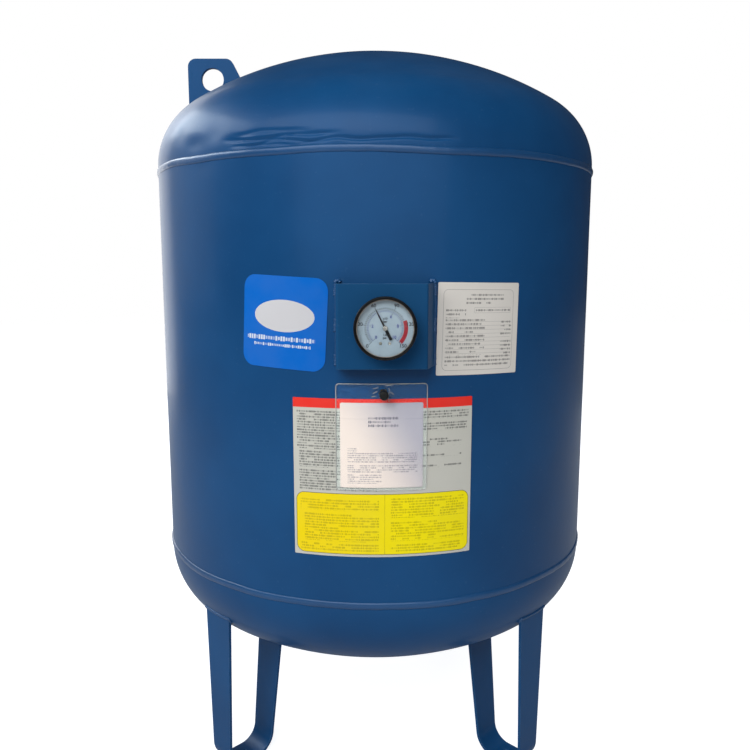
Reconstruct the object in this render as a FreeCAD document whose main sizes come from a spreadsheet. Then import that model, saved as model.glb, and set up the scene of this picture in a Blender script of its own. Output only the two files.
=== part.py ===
"""Upright bladder pressure tank on four bent strap legs, with a dial gauge on its front.

Millimetres. The origin is on the tank's axis at floor level, +Z is up and the front is -Y.
Azimuths are measured in plan from the front, positive towards +X.
"""
import FreeCAD, Part
import Sketcher
import math
import os

os.makedirs("parts", exist_ok=True)

# Driving dimensions: name, value, what it is
DIMENSIONS = [
    ("shell_diameter", 1000, "outside of the rolled shell"),
    ("shell_wall", 5, "shell plate"),
    ("shell_length", 838, "rim to rim"),
    ("rim_height", 455, "lower rim of the shell above the floor"),
    ("head_wall", 5, "dished head plate"),
    ("crown_ratio", 0.8, "crown radius over outside diameter"),
    ("knuckle_ratio", 0.154, "knuckle radius over outside diameter"),
    ("skirt_height", 15, "straight flange of a head outside the shell"),
    ("joggle_height", 6, "height of the step that lets a head slip into the shell"),
    ("lap_length", 22, "length of a head's lip inside the shell"),
    ("lap_clearance", 0.2, "lip to shell, radial"),
    ("bead_margin", 4, "seam bead past its groove on each side"),
    ("bead_rise", 3, "seam bead above the plate"),
    ("long_bead_width", 11, "lengthways seam bead"),
    ("long_bead_rise", 2.2, "lengthways seam bead above the plate"),
    ("frame_azimuth", -1.75, "turn of the legs and lug against the front fittings, degrees"),
    ("leg_count", 4, "legs"),
    ("leg_thickness", 6, "leg strap"),
    ("leg_inset", 24, "shell's outside to the face of a leg's outer upright"),
    ("leg_foot_span", 113, "outer to inner face of a leg at the floor, along the radius"),
    ("leg_lean", 6.2, "lean of a leg's inner upright, degrees"),
    ("leg_bend_radius", 45, "outside of the bends at the foot"),
    ("leg_foot_width", 60, "strap width at the floor"),
    ("leg_top_width", 92, "strap width at the height of the lower rim"),
    ("anchor_hole_radius", 9, "floor anchor hole"),
    ("lug_thickness", 12, "lifting lug plate"),
    ("lug_inset", 62, "shell's outside to the lug's outer edge"),
    ("lug_base", 135, "lug width where it meets the head"),
    ("lug_lean", 27, "lean of the lug's inner edge, degrees"),
    ("lug_above_apex", 9, "lug's top edge above the head's top"),
    ("lug_corner", 19, "rounding of the lug's corners"),
    ("lug_eye_radius", 26, "lug eye"),
    ("lug_eye_inset", 57, "lug's outer edge to the eye's centre"),
    ("lug_eye_drop", 47, "lug's top edge to the eye's centre"),
    ("neck_bore_radius", 80, "opening in the lower head and neck ring"),
    ("neck_ring_radius", 124, "outside of the neck ring and counter flange"),
    ("neck_height", 14, "neck ring's face below the head's lowest point"),
    ("bolt_circle_radius", 107, "flange bolts"),
    ("bolt_count", 8, "flange bolts"),
    ("bolt_radius", 6, "flange bolt shank"),
    ("bolt_hole_clearance", 0.7, "flange hole to shank, radial"),
    ("bolt_head_flats", 18, "flange bolt head across flats"),
    ("bolt_head_height", 8, "flange bolt head"),
    ("bolt_engagement", 13, "flange bolt in the neck ring's blind thread"),
    ("bolt_tip_gap", 2, "blind thread beyond the bolt's tip"),
    ("flange_thickness", 12, "counter flange"),
    ("nipple_radius", 29.8, "thread of the water connection"),
    ("nipple_thread", 45, "length of the water connection's thread"),
    ("nipple_relief", 1.6, "neck of the water connection below its thread, radial"),
    ("nipple_wall", 4.5, "water connection"),
    ("nipple_reach", 60, "water connection below the counter flange"),
    ("bladder_wall", 3, "rubber"),
    ("bladder_lip", 4, "bladder's clamped lip"),
    ("bladder_lip_margin", 5, "bladder's lip to the bolt holes"),
    ("bladder_neck_clearance", 0.6, "bladder's neck to the bore, radial"),
    ("bladder_belly_radius", 330, "widest part of the bladder"),
    ("bladder_shoulder", 290, "height of the bladder's curved ends"),
    ("bladder_neck_rise", 20, "bladder's neck above the opening's inner edge"),
    ("boss_radius", 32, "top boss"),
    ("boss_above", 6, "top boss above the head"),
    ("boss_below", 12, "top boss below the head's inner face"),
    ("tie_radius", 10, "stem that holds the bladder's top"),
    ("tie_clearance", 0.3, "stem to boss, radial"),
    ("tie_disc_radius", 40, "disc on the stem, inside the bladder"),
    ("bladder_collar_margin", 6, "bladder's flat top past the disc"),
    ("tie_disc_thickness", 5, "disc on the stem"),
    ("tie_tip", 3, "stem above its nut"),
    ("tie_nut_flats", 30, "top nut across flats"),
    ("tie_nut_height", 10, "top nut"),
    ("tie_washer_radius", 20, "top washer"),
    ("tie_washer_thickness", 2.5, "top washer"),
    ("gauge_rise", 533, "gauge centre above the shell's lower rim"),
    ("bracket_stand_off", 40, "bracket's face in front of the shell"),
    ("bracket_left", 85, "gauge's axis to the left edge of the bracket's face"),
    ("bracket_right", 76, "gauge's axis to the right edge of the bracket's face"),
    ("bracket_left_flare", 1, "spread of the bracket's left side, face to shell"),
    ("bracket_right_flare", 14, "spread of the bracket's right side, face to shell"),
    ("bracket_length", 150, "bracket, top to bottom"),
    ("bracket_sheet", 3, "bracket sheet"),
    ("bracket_fold", 5, "outside of the bracket's folds"),
    ("bracket_hole_radius", 16, "hole for the gauge's socket"),
    ("gauge_boss_radius", 17, "threaded boss in the shell"),
    ("gauge_boss_reach", 21, "boss in front of the shell"),
    ("weld_boss_inside", 4, "welded bosses inside the shell's wall"),
    ("socket_radius", 10.4, "gauge thread"),
    ("socket_engagement", 17, "gauge thread in its boss"),
    ("socket_flats", 27, "gauge socket across flats"),
    ("socket_neck_radius", 8, "gauge socket through the case's back"),
    ("socket_bore_radius", 3, "gauge pressure passage"),
    ("gasket_thickness", 2, "gauge sealing ring"),
    ("gasket_radius", 14, "gauge sealing ring"),
    ("case_gap", 1, "case to bracket"),
    ("case_radius", 52, "gauge case"),
    ("case_depth", 33, "gauge case"),
    ("case_wall", 1.5, "gauge case"),
    ("bezel_radius", 54.5, "gauge bezel"),
    ("bezel_window_radius", 48.2, "gauge bezel opening"),
    ("bezel_depth", 14, "gauge bezel, back to front"),
    ("bezel_clearance", 0.1, "bezel to case, radial"),
    ("bezel_lip", 2, "bezel's front lip"),
    ("bezel_round", 1.6, "rounding of the bezel's outer edge"),
    ("lens_thickness", 2.5, "gauge window"),
    ("dial_radius", 50.2, "dial plate"),
    ("dial_thickness", 1, "dial plate"),
    ("dial_depth", 7, "lens to dial face"),
    ("dial_hole_radius", 4, "dial's centre hole"),
    ("pointer_gap", 2, "dial face to pointer"),
    ("pointer_thickness", 0.8, "pointer blade"),
    ("pointer_reach", 36.5, "pointer tip from the axis"),
    ("pointer_tail", 22.5, "pointer tail from the axis"),
    ("pointer_weight_start", 8, "counterweight's inner end from the axis"),
    ("pointer_tip_width", 1.6, "pointer blade at its tip"),
    ("pointer_root_width", 3.6, "pointer blade at the hub"),
    ("pointer_weight_width", 5.4, "pointer counterweight"),
    ("pointer_eye_radius", 3.6, "round eye of the pointer's blade"),
    ("pointer_angle", -27, "pointer from upright, clockwise positive, degrees"),
    ("hub_radius", 4.6, "pointer hub"),
    ("hub_height", 1.6, "pointer hub in front of the blade"),
    ("arbor_radius", 1.5, "pointer arbor"),
    ("arbor_clearance", 0.05, "arbor to its bearing, radial"),
    ("arbor_seat", 1, "movement below the arbor's end"),
    ("movement_width", 34, "gauge movement"),
    ("movement_breadth", 26, "gauge movement"),
    ("movement_plate", 2, "movement plates"),
    ("pillar_radius", 2.5, "movement pillars"),
    ("block_radius", 12, "socket block inside the case"),
    ("block_thickness", 4, "socket block inside the case"),
    ("tube_radius", 36, "middle of the spring tube's curve"),
    ("tube_width", 4, "spring tube section"),
    ("tube_height", 9, "spring tube section"),
    ("tube_wall", 0.6, "spring tube"),
    ("tube_sweep", 250, "spring tube, degrees"),
    ("arm_clearance", 0.3, "spring tube's arm to the movement"),
    ("valve_drop", 124, "air valve below the gauge centre"),
    ("valve_boss_radius", 7, "air valve boss"),
    ("valve_boss_reach", 8, "air valve boss in front of the shell"),
    ("valve_thread_radius", 5, "air valve thread"),
    ("valve_engagement", 12, "air valve thread in its boss"),
    ("valve_flats", 16, "air valve hexagon"),
    ("valve_hexagon", 6, "air valve hexagon's thickness"),
    ("valve_tube_radius", 3.9, "air valve outlet"),
    ("valve_tube_length", 16, "air valve outlet"),
    ("valve_core_radius", 2.2, "valve core"),
    ("valve_core_recess", 1.5, "valve core below the outlet's rim"),
    ("cap_radius", 8.5, "dust cap"),
    ("cap_wall", 2, "dust cap's end wall"),
    ("cap_clearance", 0.2, "dust cap to the outlet"),
    ("label_thickness", 0.25, "printed labels"),
    ("label_adhesive", 0.3, "labels to the shell"),
    ("product_label_width", 334, "three-colour label"),
    ("product_label_length", 302, "three-colour label"),
    ("product_label_gap", 4, "three-colour label's top below the air valve's boss"),
    ("blue_label_width", 175, "blue label"),
    ("blue_label_length", 181, "blue label"),
    ("blue_label_rise", 46.5, "blue label above the three-colour label"),
    ("blue_label_azimuth", -21.5, "blue label, degrees"),
    ("rating_label_width", 171, "white rating label"),
    ("rating_label_length", 170, "white rating label"),
    ("rating_label_rise", 40, "white rating label above the three-colour label"),
    ("rating_label_azimuth", 21.1, "white rating label, degrees"),
    ("label_corner", 6, "rounding of the white labels"),
    ("blue_label_corner", 20, "rounding of the blue label"),
    ("pocket_gap", 1.2, "document pocket to shell"),
    ("pocket_depth", 3, "document pocket, back to front"),
    ("pocket_film", 0.4, "document pocket film"),
    ("pocket_width", 167, "document pocket"),
    ("pocket_shift", 3, "pocket's middle to the left of the air valve"),
    ("pocket_length", 200, "document pocket"),
    ("pocket_above_valve", 17, "pocket's top edge above the air valve"),
    ("pocket_seam", 5, "welded side and bottom seams of the pocket"),
    ("pocket_hole_clearance", 0.3, "pocket's hanging hole to the valve boss"),
    ("sheet_clearance", 0.3, "folded sheet to the pocket's films"),
    ("sheet_width", 152, "folded sheet"),
    ("sheet_length", 160, "folded sheet"),
]


class Size:
    """A number together with the sheet expression that gives it."""

    def __init__(self, value, text):
        self.value = float(value)
        self.text = text

    def __add__(self, other):
        other = as_size(other)
        return Size(self.value + other.value, f"({self.text} + {other.text})")

    def __sub__(self, other):
        other = as_size(other)
        return Size(self.value - other.value, f"({self.text} - {other.text})")

    def __mul__(self, other):
        other = as_size(other)
        return Size(self.value * other.value, f"{self.text} * {other.text}")

    def __truediv__(self, other):
        other = as_size(other)
        return Size(self.value / other.value, f"({self.text}) / ({other.text})")

    def __radd__(self, other):
        return as_size(other) + self

    def __rsub__(self, other):
        return as_size(other) - self

    def __rmul__(self, other):
        return as_size(other) * self

    def __neg__(self):
        return Size(-self.value, f"(0 - {self.text})")


def as_size(number):
    return number if isinstance(number, Size) else Size(number, repr(number))


def root(size):
    return Size(math.sqrt(size.value), f"sqrt({size.text})")


def sine(degrees):
    degrees = as_size(degrees)
    return Size(math.sin(math.radians(degrees.value)), f"sin({degrees.text} * 1 deg)")


def cosine(degrees):
    degrees = as_size(degrees)
    return Size(math.cos(math.radians(degrees.value)), f"cos({degrees.text} * 1 deg)")


doc = FreeCAD.newDocument("pressure_tank")
sheet = doc.addObject("Spreadsheet::Sheet", "Sizes")
for row, (name, value, note) in enumerate(DIMENSIONS, start=1):
    sheet.set(f"A{row}", name)
    sheet.set(f"B{row}", str(value))
    sheet.set(f"C{row}", note)
    sheet.setAlias(f"B{row}", name)
doc.recompute()


class SheetSizes:
    """The driving dimensions by name."""


S = SheetSizes()
for name, value, note in DIMENSIONS:
    setattr(S, name, Size(value, f"Sizes.{name}"))

nodes = []
feature_names = iter(range(100000))


def fresh(word):
    return f"{word}_{next(feature_names)}"


def new_body(label):
    body = doc.addObject("PartDesign::Body", label)
    body.Label = label
    nodes.append(body)
    return body


def plane_of(body, role):
    return next(item for item in body.Origin.OriginFeatures if item.Role == role)


def new_sketch(body, role, raise_by=None):
    """An empty sketch on one of the body's own origin planes, or raised along its normal."""
    sketch = body.newObject("Sketcher::SketchObject", fresh("Sketch"))
    sketch.AttachmentSupport = (plane_of(body, role), [""])
    sketch.MapMode = "FlatFace"
    if raise_by is not None:
        raise_by = as_size(raise_by)
        sketch.AttachmentOffset = FreeCAD.Placement(FreeCAD.Vector(0, 0, raise_by.value),
                                                    FreeCAD.Rotation())
        sketch.setExpression("AttachmentOffset.Base.z", raise_by.text)
    return sketch


def hold_point(sketch, geometry, vertex, point):
    """Fix a vertex by its two distances from the sketch's origin."""
    for kind, axis, distance in (("DistanceX", -2, point[0]), ("DistanceY", -1, point[1])):
        if isinstance(distance, Size):
            index = sketch.addConstraint(
                Sketcher.Constraint(kind, -1, 1, geometry, vertex, distance.value))
            sketch.setExpression(f"Constraints[{index}]", distance.text)
        elif distance == 0:
            sketch.addConstraint(Sketcher.Constraint("PointOnObject", geometry, vertex, axis))
        else:
            sketch.addConstraint(Sketcher.Constraint(kind, -1, 1, geometry, vertex, distance))


def add_loop(sketch, corners):
    """A closed loop of lines and arcs.

    A corner is (across, up), or (across, up, radius, side) where the edge to the next corner
    is an arc of that radius that turns left (+1) or right (-1).
    """
    edges = []
    for here, there in zip(corners, corners[1:] + corners[:1]):
        start = FreeCAD.Vector(as_size(here[0]).value, as_size(here[1]).value, 0)
        end = FreeCAD.Vector(as_size(there[0]).value, as_size(there[1]).value, 0)
        if len(here) == 2:
            geometry = sketch.addGeometry(Part.LineSegment(start, end), False)
            edges.append((geometry, 1, 2))
            continue
        radius, side = as_size(here[2]), here[3]
        chord = end - start
        rise = math.sqrt(max(radius.value ** 2 - (chord.Length / 2) ** 2, 0))
        left = FreeCAD.Vector(-chord.y, chord.x, 0).normalize()
        centre = (start + end) / 2 + left * (side * rise)
        first, last = (start, end) if side > 0 else (end, start)
        angles = [math.atan2(point.y - centre.y, point.x - centre.x) for point in (first, last)]
        circle = Part.Circle(centre, FreeCAD.Vector(0, 0, 1), radius.value)
        geometry = sketch.addGeometry(Part.ArcOfCircle(circle, angles[0], angles[1]), False)
        index = sketch.addConstraint(Sketcher.Constraint("Radius", geometry, radius.value))
        sketch.setExpression(f"Constraints[{index}]", radius.text)
        edges.append((geometry, 1, 2) if side > 0 else (geometry, 2, 1))
    for number, (geometry, first, last) in enumerate(edges):
        before = edges[number - 1]
        sketch.addConstraint(
            Sketcher.Constraint("Coincident", before[0], before[2], geometry, first))
        hold_point(sketch, geometry, first, corners[number])


def add_circle(sketch, centre, radius):
    radius = as_size(radius)
    middle = FreeCAD.Vector(as_size(centre[0]).value, as_size(centre[1]).value, 0)
    geometry = sketch.addGeometry(
        Part.Circle(middle, FreeCAD.Vector(0, 0, 1), radius.value), False)
    index = sketch.addConstraint(Sketcher.Constraint("Radius", geometry, radius.value))
    sketch.setExpression(f"Constraints[{index}]", radius.text)
    hold_point(sketch, geometry, 3, centre)


def rectangle(left, bottom, right, top):
    return [(left, bottom), (right, bottom), (right, top), (left, top)]


def rounded_rectangle(half_width, bottom, top, radius):
    """Corners run anticlockwise, so every corner arc turns left."""
    return [(-half_width + radius, bottom), (half_width - radius, bottom, radius, 1),
            (half_width, bottom + radius), (half_width, top - radius, radius, 1),
            (half_width - radius, top), (-half_width + radius, top, radius, 1),
            (-half_width, top - radius), (-half_width, bottom + radius, radius, 1)]


def hexagon(flats, centre=(0, 0)):
    """Six corners with two flats facing up and down the sketch."""
    reach = flats / 2 / cosine(30)
    return [(reach * cosine(60 * step) + centre[0], reach * sine(60 * step) + centre[1])
            for step in range(6)]


def turn_loop(body, corners, degrees=360, cut=False):
    """Revolve a loop drawn as (radius, height) about the body's Z axis."""
    sketch = new_sketch(body, "XZ_Plane")
    add_loop(sketch, corners)
    kind = "Groove" if cut else "Revolution"
    feature = body.newObject(f"PartDesign::{kind}", fresh(kind))
    feature.Profile = sketch
    feature.ReferenceAxis = (sketch, ["V_Axis"])
    degrees = as_size(degrees)
    feature.Angle = degrees.value
    if degrees.text.startswith("Sizes"):
        feature.setExpression("Angle", degrees.text)
    doc.recompute()
    return feature


def extrude(body, role, loops, length, raise_by=None, middle=False, back=False, circles=()):
    """Pad loops and circles from one of the body's planes."""
    sketch = new_sketch(body, role, raise_by)
    for corners in loops:
        add_loop(sketch, corners)
    for centre, radius in circles:
        add_circle(sketch, centre, radius)
    pad = body.newObject("PartDesign::Pad", fresh("Pad"))
    pad.Profile = sketch
    length = as_size(length)
    pad.Length = length.value
    pad.setExpression("Length", length.text)
    pad.SideType = "Symmetric" if middle else "One side"
    pad.Reversed = back
    doc.recompute()
    return pad


def cut_through(body, role, loops=(), circles=(), both=False, back=False, depth=None,
                raise_by=None):
    """Pocket loops and circles; a pocket that removes nothing is an error."""
    before = body.Shape.Volume
    sketch = new_sketch(body, role, raise_by)
    for corners in loops:
        add_loop(sketch, corners)
    for centre, radius in circles:
        add_circle(sketch, centre, radius)
    pocket = body.newObject("PartDesign::Pocket", fresh("Pocket"))
    pocket.Profile = sketch
    pocket.SideType = "Two sides" if both else "One side"
    if depth is None:
        pocket.Type = "ThroughAll"
        pocket.Type2 = "ThroughAll"
    else:
        depth = as_size(depth)
        pocket.Length = depth.value
        pocket.setExpression("Length", depth.text)
    pocket.Reversed = back
    doc.recompute()
    if body.Shape.Volume >= before - 1e-6:
        raise RuntimeError(f"a pocket in {body.Label} removed nothing")
    return pocket


def ring_pattern(body, features, count):
    """Repeat features round the body's Z axis."""
    pattern = body.newObject("PartDesign::PolarPattern", fresh("PolarPattern"))
    pattern.Originals = features
    pattern.Axis = (plane_of(body, "Z_Axis"), [""])
    pattern.Angle = 360
    pattern.Occurrences = int(count.value)
    pattern.setExpression("Occurrences", count.text)
    body.Tip = pattern
    doc.recompute()
    return pattern


def round_edges(body, radius, wanted):
    """Fillet the edges whose middle point the test accepts."""
    names = [f"Edge{number}" for number, edge in enumerate(body.Shape.Edges, start=1)
             if wanted(edge)]
    if not names:
        raise RuntimeError(f"no edge to round in {body.Label}")
    radius = as_size(radius)
    base = body.Tip
    fillet = body.newObject("PartDesign::Fillet", fresh("Fillet"))
    fillet.Base = (base, names)
    fillet.Radius = radius.value
    fillet.setExpression("Radius", radius.text)
    body.Tip = fillet
    doc.recompute()
    return fillet


def place(item, height=None, forward=None, turn=None, axis=(0, 0, 1)):
    """Place a sub-part: height along Z, forward along -Y, and a turn in degrees."""
    placement = FreeCAD.Placement()
    if turn is not None:
        turn = as_size(turn)
        placement.Rotation = FreeCAD.Rotation(FreeCAD.Vector(*axis), turn.value)
    item.Placement = placement
    if height is not None:
        height = as_size(height)
        item.setExpression("Placement.Base.z", height.text)
    if forward is not None:
        forward = as_size(forward)
        item.setExpression("Placement.Base.y", f"0 - {forward.text}")
    if turn is not None and turn.text.count("Sizes"):
        item.setExpression("Placement.Rotation.Angle", turn.text)


def face_front(item, height):
    """Local Z points forward from the tank's axis, local Y points up."""
    place(item, height=height, turn=90, axis=(1, 0, 0))


# Shared sizes
shell_radius = S.shell_diameter / 2
shell_inside = shell_radius - S.shell_wall
lip_radius = shell_inside - S.lap_clearance
crown_radius = S.shell_diameter * S.crown_ratio
knuckle_radius = S.shell_diameter * S.knuckle_ratio
knuckle_centre = shell_radius - knuckle_radius
centre_distance = crown_radius - knuckle_radius
crown_centre = S.skirt_height - root(centre_distance * centre_distance - knuckle_centre * knuckle_centre)
apex = crown_centre + crown_radius
top_rim = S.rim_height + S.shell_length
gauge_height = S.rim_height + S.gauge_rise
valve_height = gauge_height - S.valve_drop
product_label_top = valve_height - S.valve_boss_radius - S.product_label_gap


def crown_height(radius, inside=False):
    """Height of a head's crown above its rim at a radius, on its outer or inner face."""
    reach = crown_radius - S.head_wall if inside else crown_radius
    return crown_centre + root(reach * reach - radius * radius)


def joggle_fold():
    """Offset of the joggle's inner corners that keeps the plate's thickness."""
    step = shell_radius - lip_radius
    slope = root(step * step + S.joggle_height * S.joggle_height)
    return (slope - S.joggle_height) / step * S.head_wall


def head_outline(opening_radius):
    """Half section of a dished head above the shell's rim."""
    inner = S.head_wall
    outer_tangent = (crown_radius * knuckle_centre / centre_distance,
                     crown_centre + crown_radius * (S.skirt_height - crown_centre) / centre_distance)
    inner_crown = crown_radius - inner
    inner_tangent = (inner_crown * knuckle_centre / centre_distance,
                     crown_centre + inner_crown * (S.skirt_height - crown_centre) / centre_distance)
    fold = joggle_fold()
    return [(lip_radius, -S.lap_length),
            (lip_radius, 0),
            (shell_radius, S.joggle_height),
            (shell_radius, S.skirt_height, knuckle_radius, 1),
            (outer_tangent[0], outer_tangent[1], crown_radius, 1),
            (opening_radius, crown_height(opening_radius)),
            (opening_radius, crown_height(opening_radius, inside=True), inner_crown, -1),
            (inner_tangent[0], inner_tangent[1], knuckle_radius - inner, -1),
            (shell_radius - inner, S.skirt_height),
            (shell_radius - inner, S.joggle_height + fold),
            (lip_radius - inner, fold),
            (lip_radius - inner, -S.lap_length)]


def inside_of_head():
    """Loop that fills a head's outer form, to trim what is welded onto it."""
    tangent = (crown_radius * knuckle_centre / centre_distance,
               crown_centre + crown_radius * (S.skirt_height - crown_centre) / centre_distance)
    return [(0, -S.lap_length),
            (shell_radius, -S.lap_length),
            (shell_radius, S.skirt_height, knuckle_radius, 1),
            (tangent[0], tangent[1], crown_radius, 1),
            (0, apex)]


# Pressure vessel
def make_shell():
    body = new_body("shell")
    turn_loop(body, rectangle(shell_inside, 0, shell_radius, S.shell_length))
    cut_through(body, "XZ_Plane", back=True, circles=[
        ((0, gauge_height - S.rim_height), S.gauge_boss_radius),
        ((0, valve_height - S.rim_height), S.valve_boss_radius)])
    place(body, height=S.rim_height)


def make_head(label, opening_radius, upper):
    body = new_body(label)
    turn_loop(body, head_outline(opening_radius))
    seat_on_rim(body, upper)


def seat_on_rim(body, upper):
    """Rim frame: local Z points from the shell's rim out through the head."""
    if upper:
        place(body, height=top_rim)
    else:
        place(body, height=S.rim_height, turn=180, axis=(1, 0, 0))


def make_seam_bead(label, upper):
    """Weld that fills the joggle's groove, with a rounded cap."""
    span = S.joggle_height + S.bead_margin * 2
    cap_radius = (span * span / 4 + S.bead_rise * S.bead_rise) / (S.bead_rise * 2)
    body = new_body(label)
    turn_loop(body, [(lip_radius, 0), (shell_radius, 0),
                     (shell_radius, -S.bead_margin, cap_radius, 1),
                     (shell_radius, S.joggle_height + S.bead_margin),
                     (shell_radius, S.joggle_height)])
    seat_on_rim(body, upper)


def make_long_bead():
    """Lengthways seam of the rolled shell, at the back."""
    half = S.long_bead_width / 2
    foot = root(shell_radius * shell_radius - half * half)
    rise = S.long_bead_rise
    cap_radius = (half * half + rise * rise) / (rise * 2)
    body = new_body("long_seam_weld")
    extrude(body, "XY_Plane",
            [[(half, foot, cap_radius, 1), (-half, foot, shell_radius, -1)]],
            S.shell_length - S.bead_margin * 2, raise_by=S.bead_margin)
    place(body, height=S.rim_height)


# Legs and lug
def leg_azimuths():
    count = int(S.leg_count.value)
    return [(number, S.frame_azimuth + (360 / count) * (number + 0.5) - 90)
            for number in range(count)]


def make_leg(label, turn):
    """One strap bent into a U: an upright outer side, a flat foot and a leaning inner side."""
    outer = shell_radius - S.leg_inset
    inner = outer - S.leg_foot_span
    lean = sine(S.leg_lean) / cosine(S.leg_lean)
    top = S.rim_height
    inside_foot = S.leg_thickness
    slant = S.leg_thickness / cosine(S.leg_lean)
    body = new_body(label)
    extrude(body, "XZ_Plane", [[
        (outer, 0), (outer, top), (outer - S.leg_thickness, top),
        (outer - S.leg_thickness, inside_foot),
        (inner + slant - lean * inside_foot, inside_foot),
        (inner + slant - lean * top, top), (inner - lean * top, top), (inner, 0)]],
        S.leg_top_width, middle=True)

    def at_corner(edge, radius, height):
        spot = edge.CenterOfMass
        return (abs(spot.x - radius) < 1 and abs(spot.z - height) < 1 and abs(spot.y) < 1
                and edge.Length > S.leg_top_width.value - 1)

    foot = S.leg_thickness.value
    outside = [(outer.value, 0), (inner.value, 0)]
    inside = [(outer.value - foot, foot), ((inner + slant - lean * inside_foot).value, foot)]
    round_edges(body, S.leg_bend_radius,
                lambda edge: any(at_corner(edge, *corner) for corner in outside))
    round_edges(body, S.leg_bend_radius - S.leg_thickness,
                lambda edge: any(at_corner(edge, *corner) for corner in inside))
    cut_through(body, "XY_Plane", both=True,
                circles=[((outer - S.leg_foot_span / 2, 0), S.anchor_hole_radius)])
    half_top, half_foot = S.leg_top_width / 2, S.leg_foot_width / 2
    for side in (1, -1):
        cut_through(body, "YZ_Plane", both=True, loops=[[
            (half_foot * side, 0), (half_top * side, top),
            (S.leg_top_width * side, top), (S.leg_top_width * side, 0)]])
    trim_by_head(body, upper=False)
    place(body, turn=turn)


def trim_by_head(body, upper):
    """Cut away what lies inside the outer form of a head, in the tank's own height."""
    sign = 1 if upper else -1
    rim = top_rim if upper else S.rim_height
    loop = [(corner[0], rim + as_size(corner[1]) * sign) + tuple(corner[2:3])
            + tuple(turned * sign for turned in corner[3:]) for corner in inside_of_head()]
    before = body.Shape.Volume
    turn_loop(body, loop, cut=True)
    if body.Shape.Volume >= before - 1e-6:
        raise RuntimeError(f"{body.Label} does not meet its head")


def make_lug():
    outer = shell_radius - S.lug_inset
    top = top_rim + apex + S.lug_above_apex
    foot = top_rim + crown_height(outer - S.lug_base) - S.lug_base / 2
    slope = sine(S.lug_lean) / cosine(S.lug_lean)
    inner_foot = outer - S.lug_base
    inner_top = inner_foot + slope * (top - top_rim - crown_height(inner_foot))
    body = new_body("lifting_lug")
    extrude(body, "XZ_Plane", [[
        (outer, foot), (outer, top), (inner_top, top),
        (inner_foot, top_rim + crown_height(inner_foot)), (inner_foot, foot)]],
        S.lug_thickness, middle=True)
    high = top.value
    round_edges(body, S.lug_corner,
                lambda edge: abs(edge.CenterOfMass.z - high) < 1 and abs(edge.CenterOfMass.y) < 1
                and abs(edge.Length - S.lug_thickness.value) < 1e-3)
    cut_through(body, "XZ_Plane", both=True,
                circles=[((outer - S.lug_eye_inset, top - S.lug_eye_drop), S.lug_eye_radius)])
    trim_by_head(body, upper=True)
    place(body, turn=S.frame_azimuth - 180)


# Bottom flange and water connection, drawn in the lower rim frame
neck_face = apex + S.neck_height
flange_back = neck_face + S.bladder_lip
flange_front = flange_back + S.flange_thickness
bolt_hole_radius = S.bolt_radius + S.bolt_hole_clearance
nipple_neck_radius = S.nipple_radius - S.nipple_relief


def make_neck_ring():
    body = new_body("neck_ring")
    turn_loop(body, [(S.neck_ring_radius, neck_face),
                     (S.neck_bore_radius, neck_face),
                     (S.neck_bore_radius, crown_height(S.neck_bore_radius), crown_radius, -1),
                     (S.neck_ring_radius, crown_height(S.neck_ring_radius))])
    depth = S.bolt_engagement + S.bolt_tip_gap
    hole = cut_through(body, "XY_Plane", depth=depth, raise_by=neck_face,
                       circles=[((S.bolt_circle_radius, 0), S.bolt_radius)])
    ring_pattern(body, [hole], S.bolt_count)
    seat_on_rim(body, upper=False)


def make_counter_flange():
    body = new_body("counter_flange")
    turn_loop(body, rectangle(nipple_neck_radius, flange_back, S.neck_ring_radius, flange_front))
    hole = cut_through(body, "XY_Plane", raise_by=flange_front,
                       circles=[((S.bolt_circle_radius, 0), bolt_hole_radius)])
    ring_pattern(body, [hole], S.bolt_count)
    seat_on_rim(body, upper=False)


def make_nipple():
    body = new_body("water_connection")
    bore = S.nipple_radius - S.nipple_wall
    end = flange_front + S.nipple_reach
    turn_loop(body, [(bore, flange_back), (nipple_neck_radius, flange_back),
                     (nipple_neck_radius, end - S.nipple_thread),
                     (S.nipple_radius, end - S.nipple_thread), (S.nipple_radius, end), (bore, end)])
    seat_on_rim(body, upper=False)


def make_flange_bolts():
    body = new_body("flange_bolts")
    body.AllowCompound = True
    head = extrude(body, "XY_Plane", [hexagon(S.bolt_head_flats, (S.bolt_circle_radius, 0))],
                   S.bolt_head_height, raise_by=flange_front)
    shank = extrude(body, "XY_Plane", [], flange_front - neck_face + S.bolt_engagement,
                    raise_by=flange_front, back=True,
                    circles=[((S.bolt_circle_radius, 0), S.bolt_radius)])
    ring_pattern(body, [head, shank], S.bolt_count)
    seat_on_rim(body, upper=False)


# Bladder and its top fixing
boss_bottom = top_rim + crown_height(S.boss_radius, inside=True) - S.boss_below
boss_top = top_rim + apex + S.boss_above
tie_hole_radius = S.tie_radius + S.tie_clearance


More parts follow.
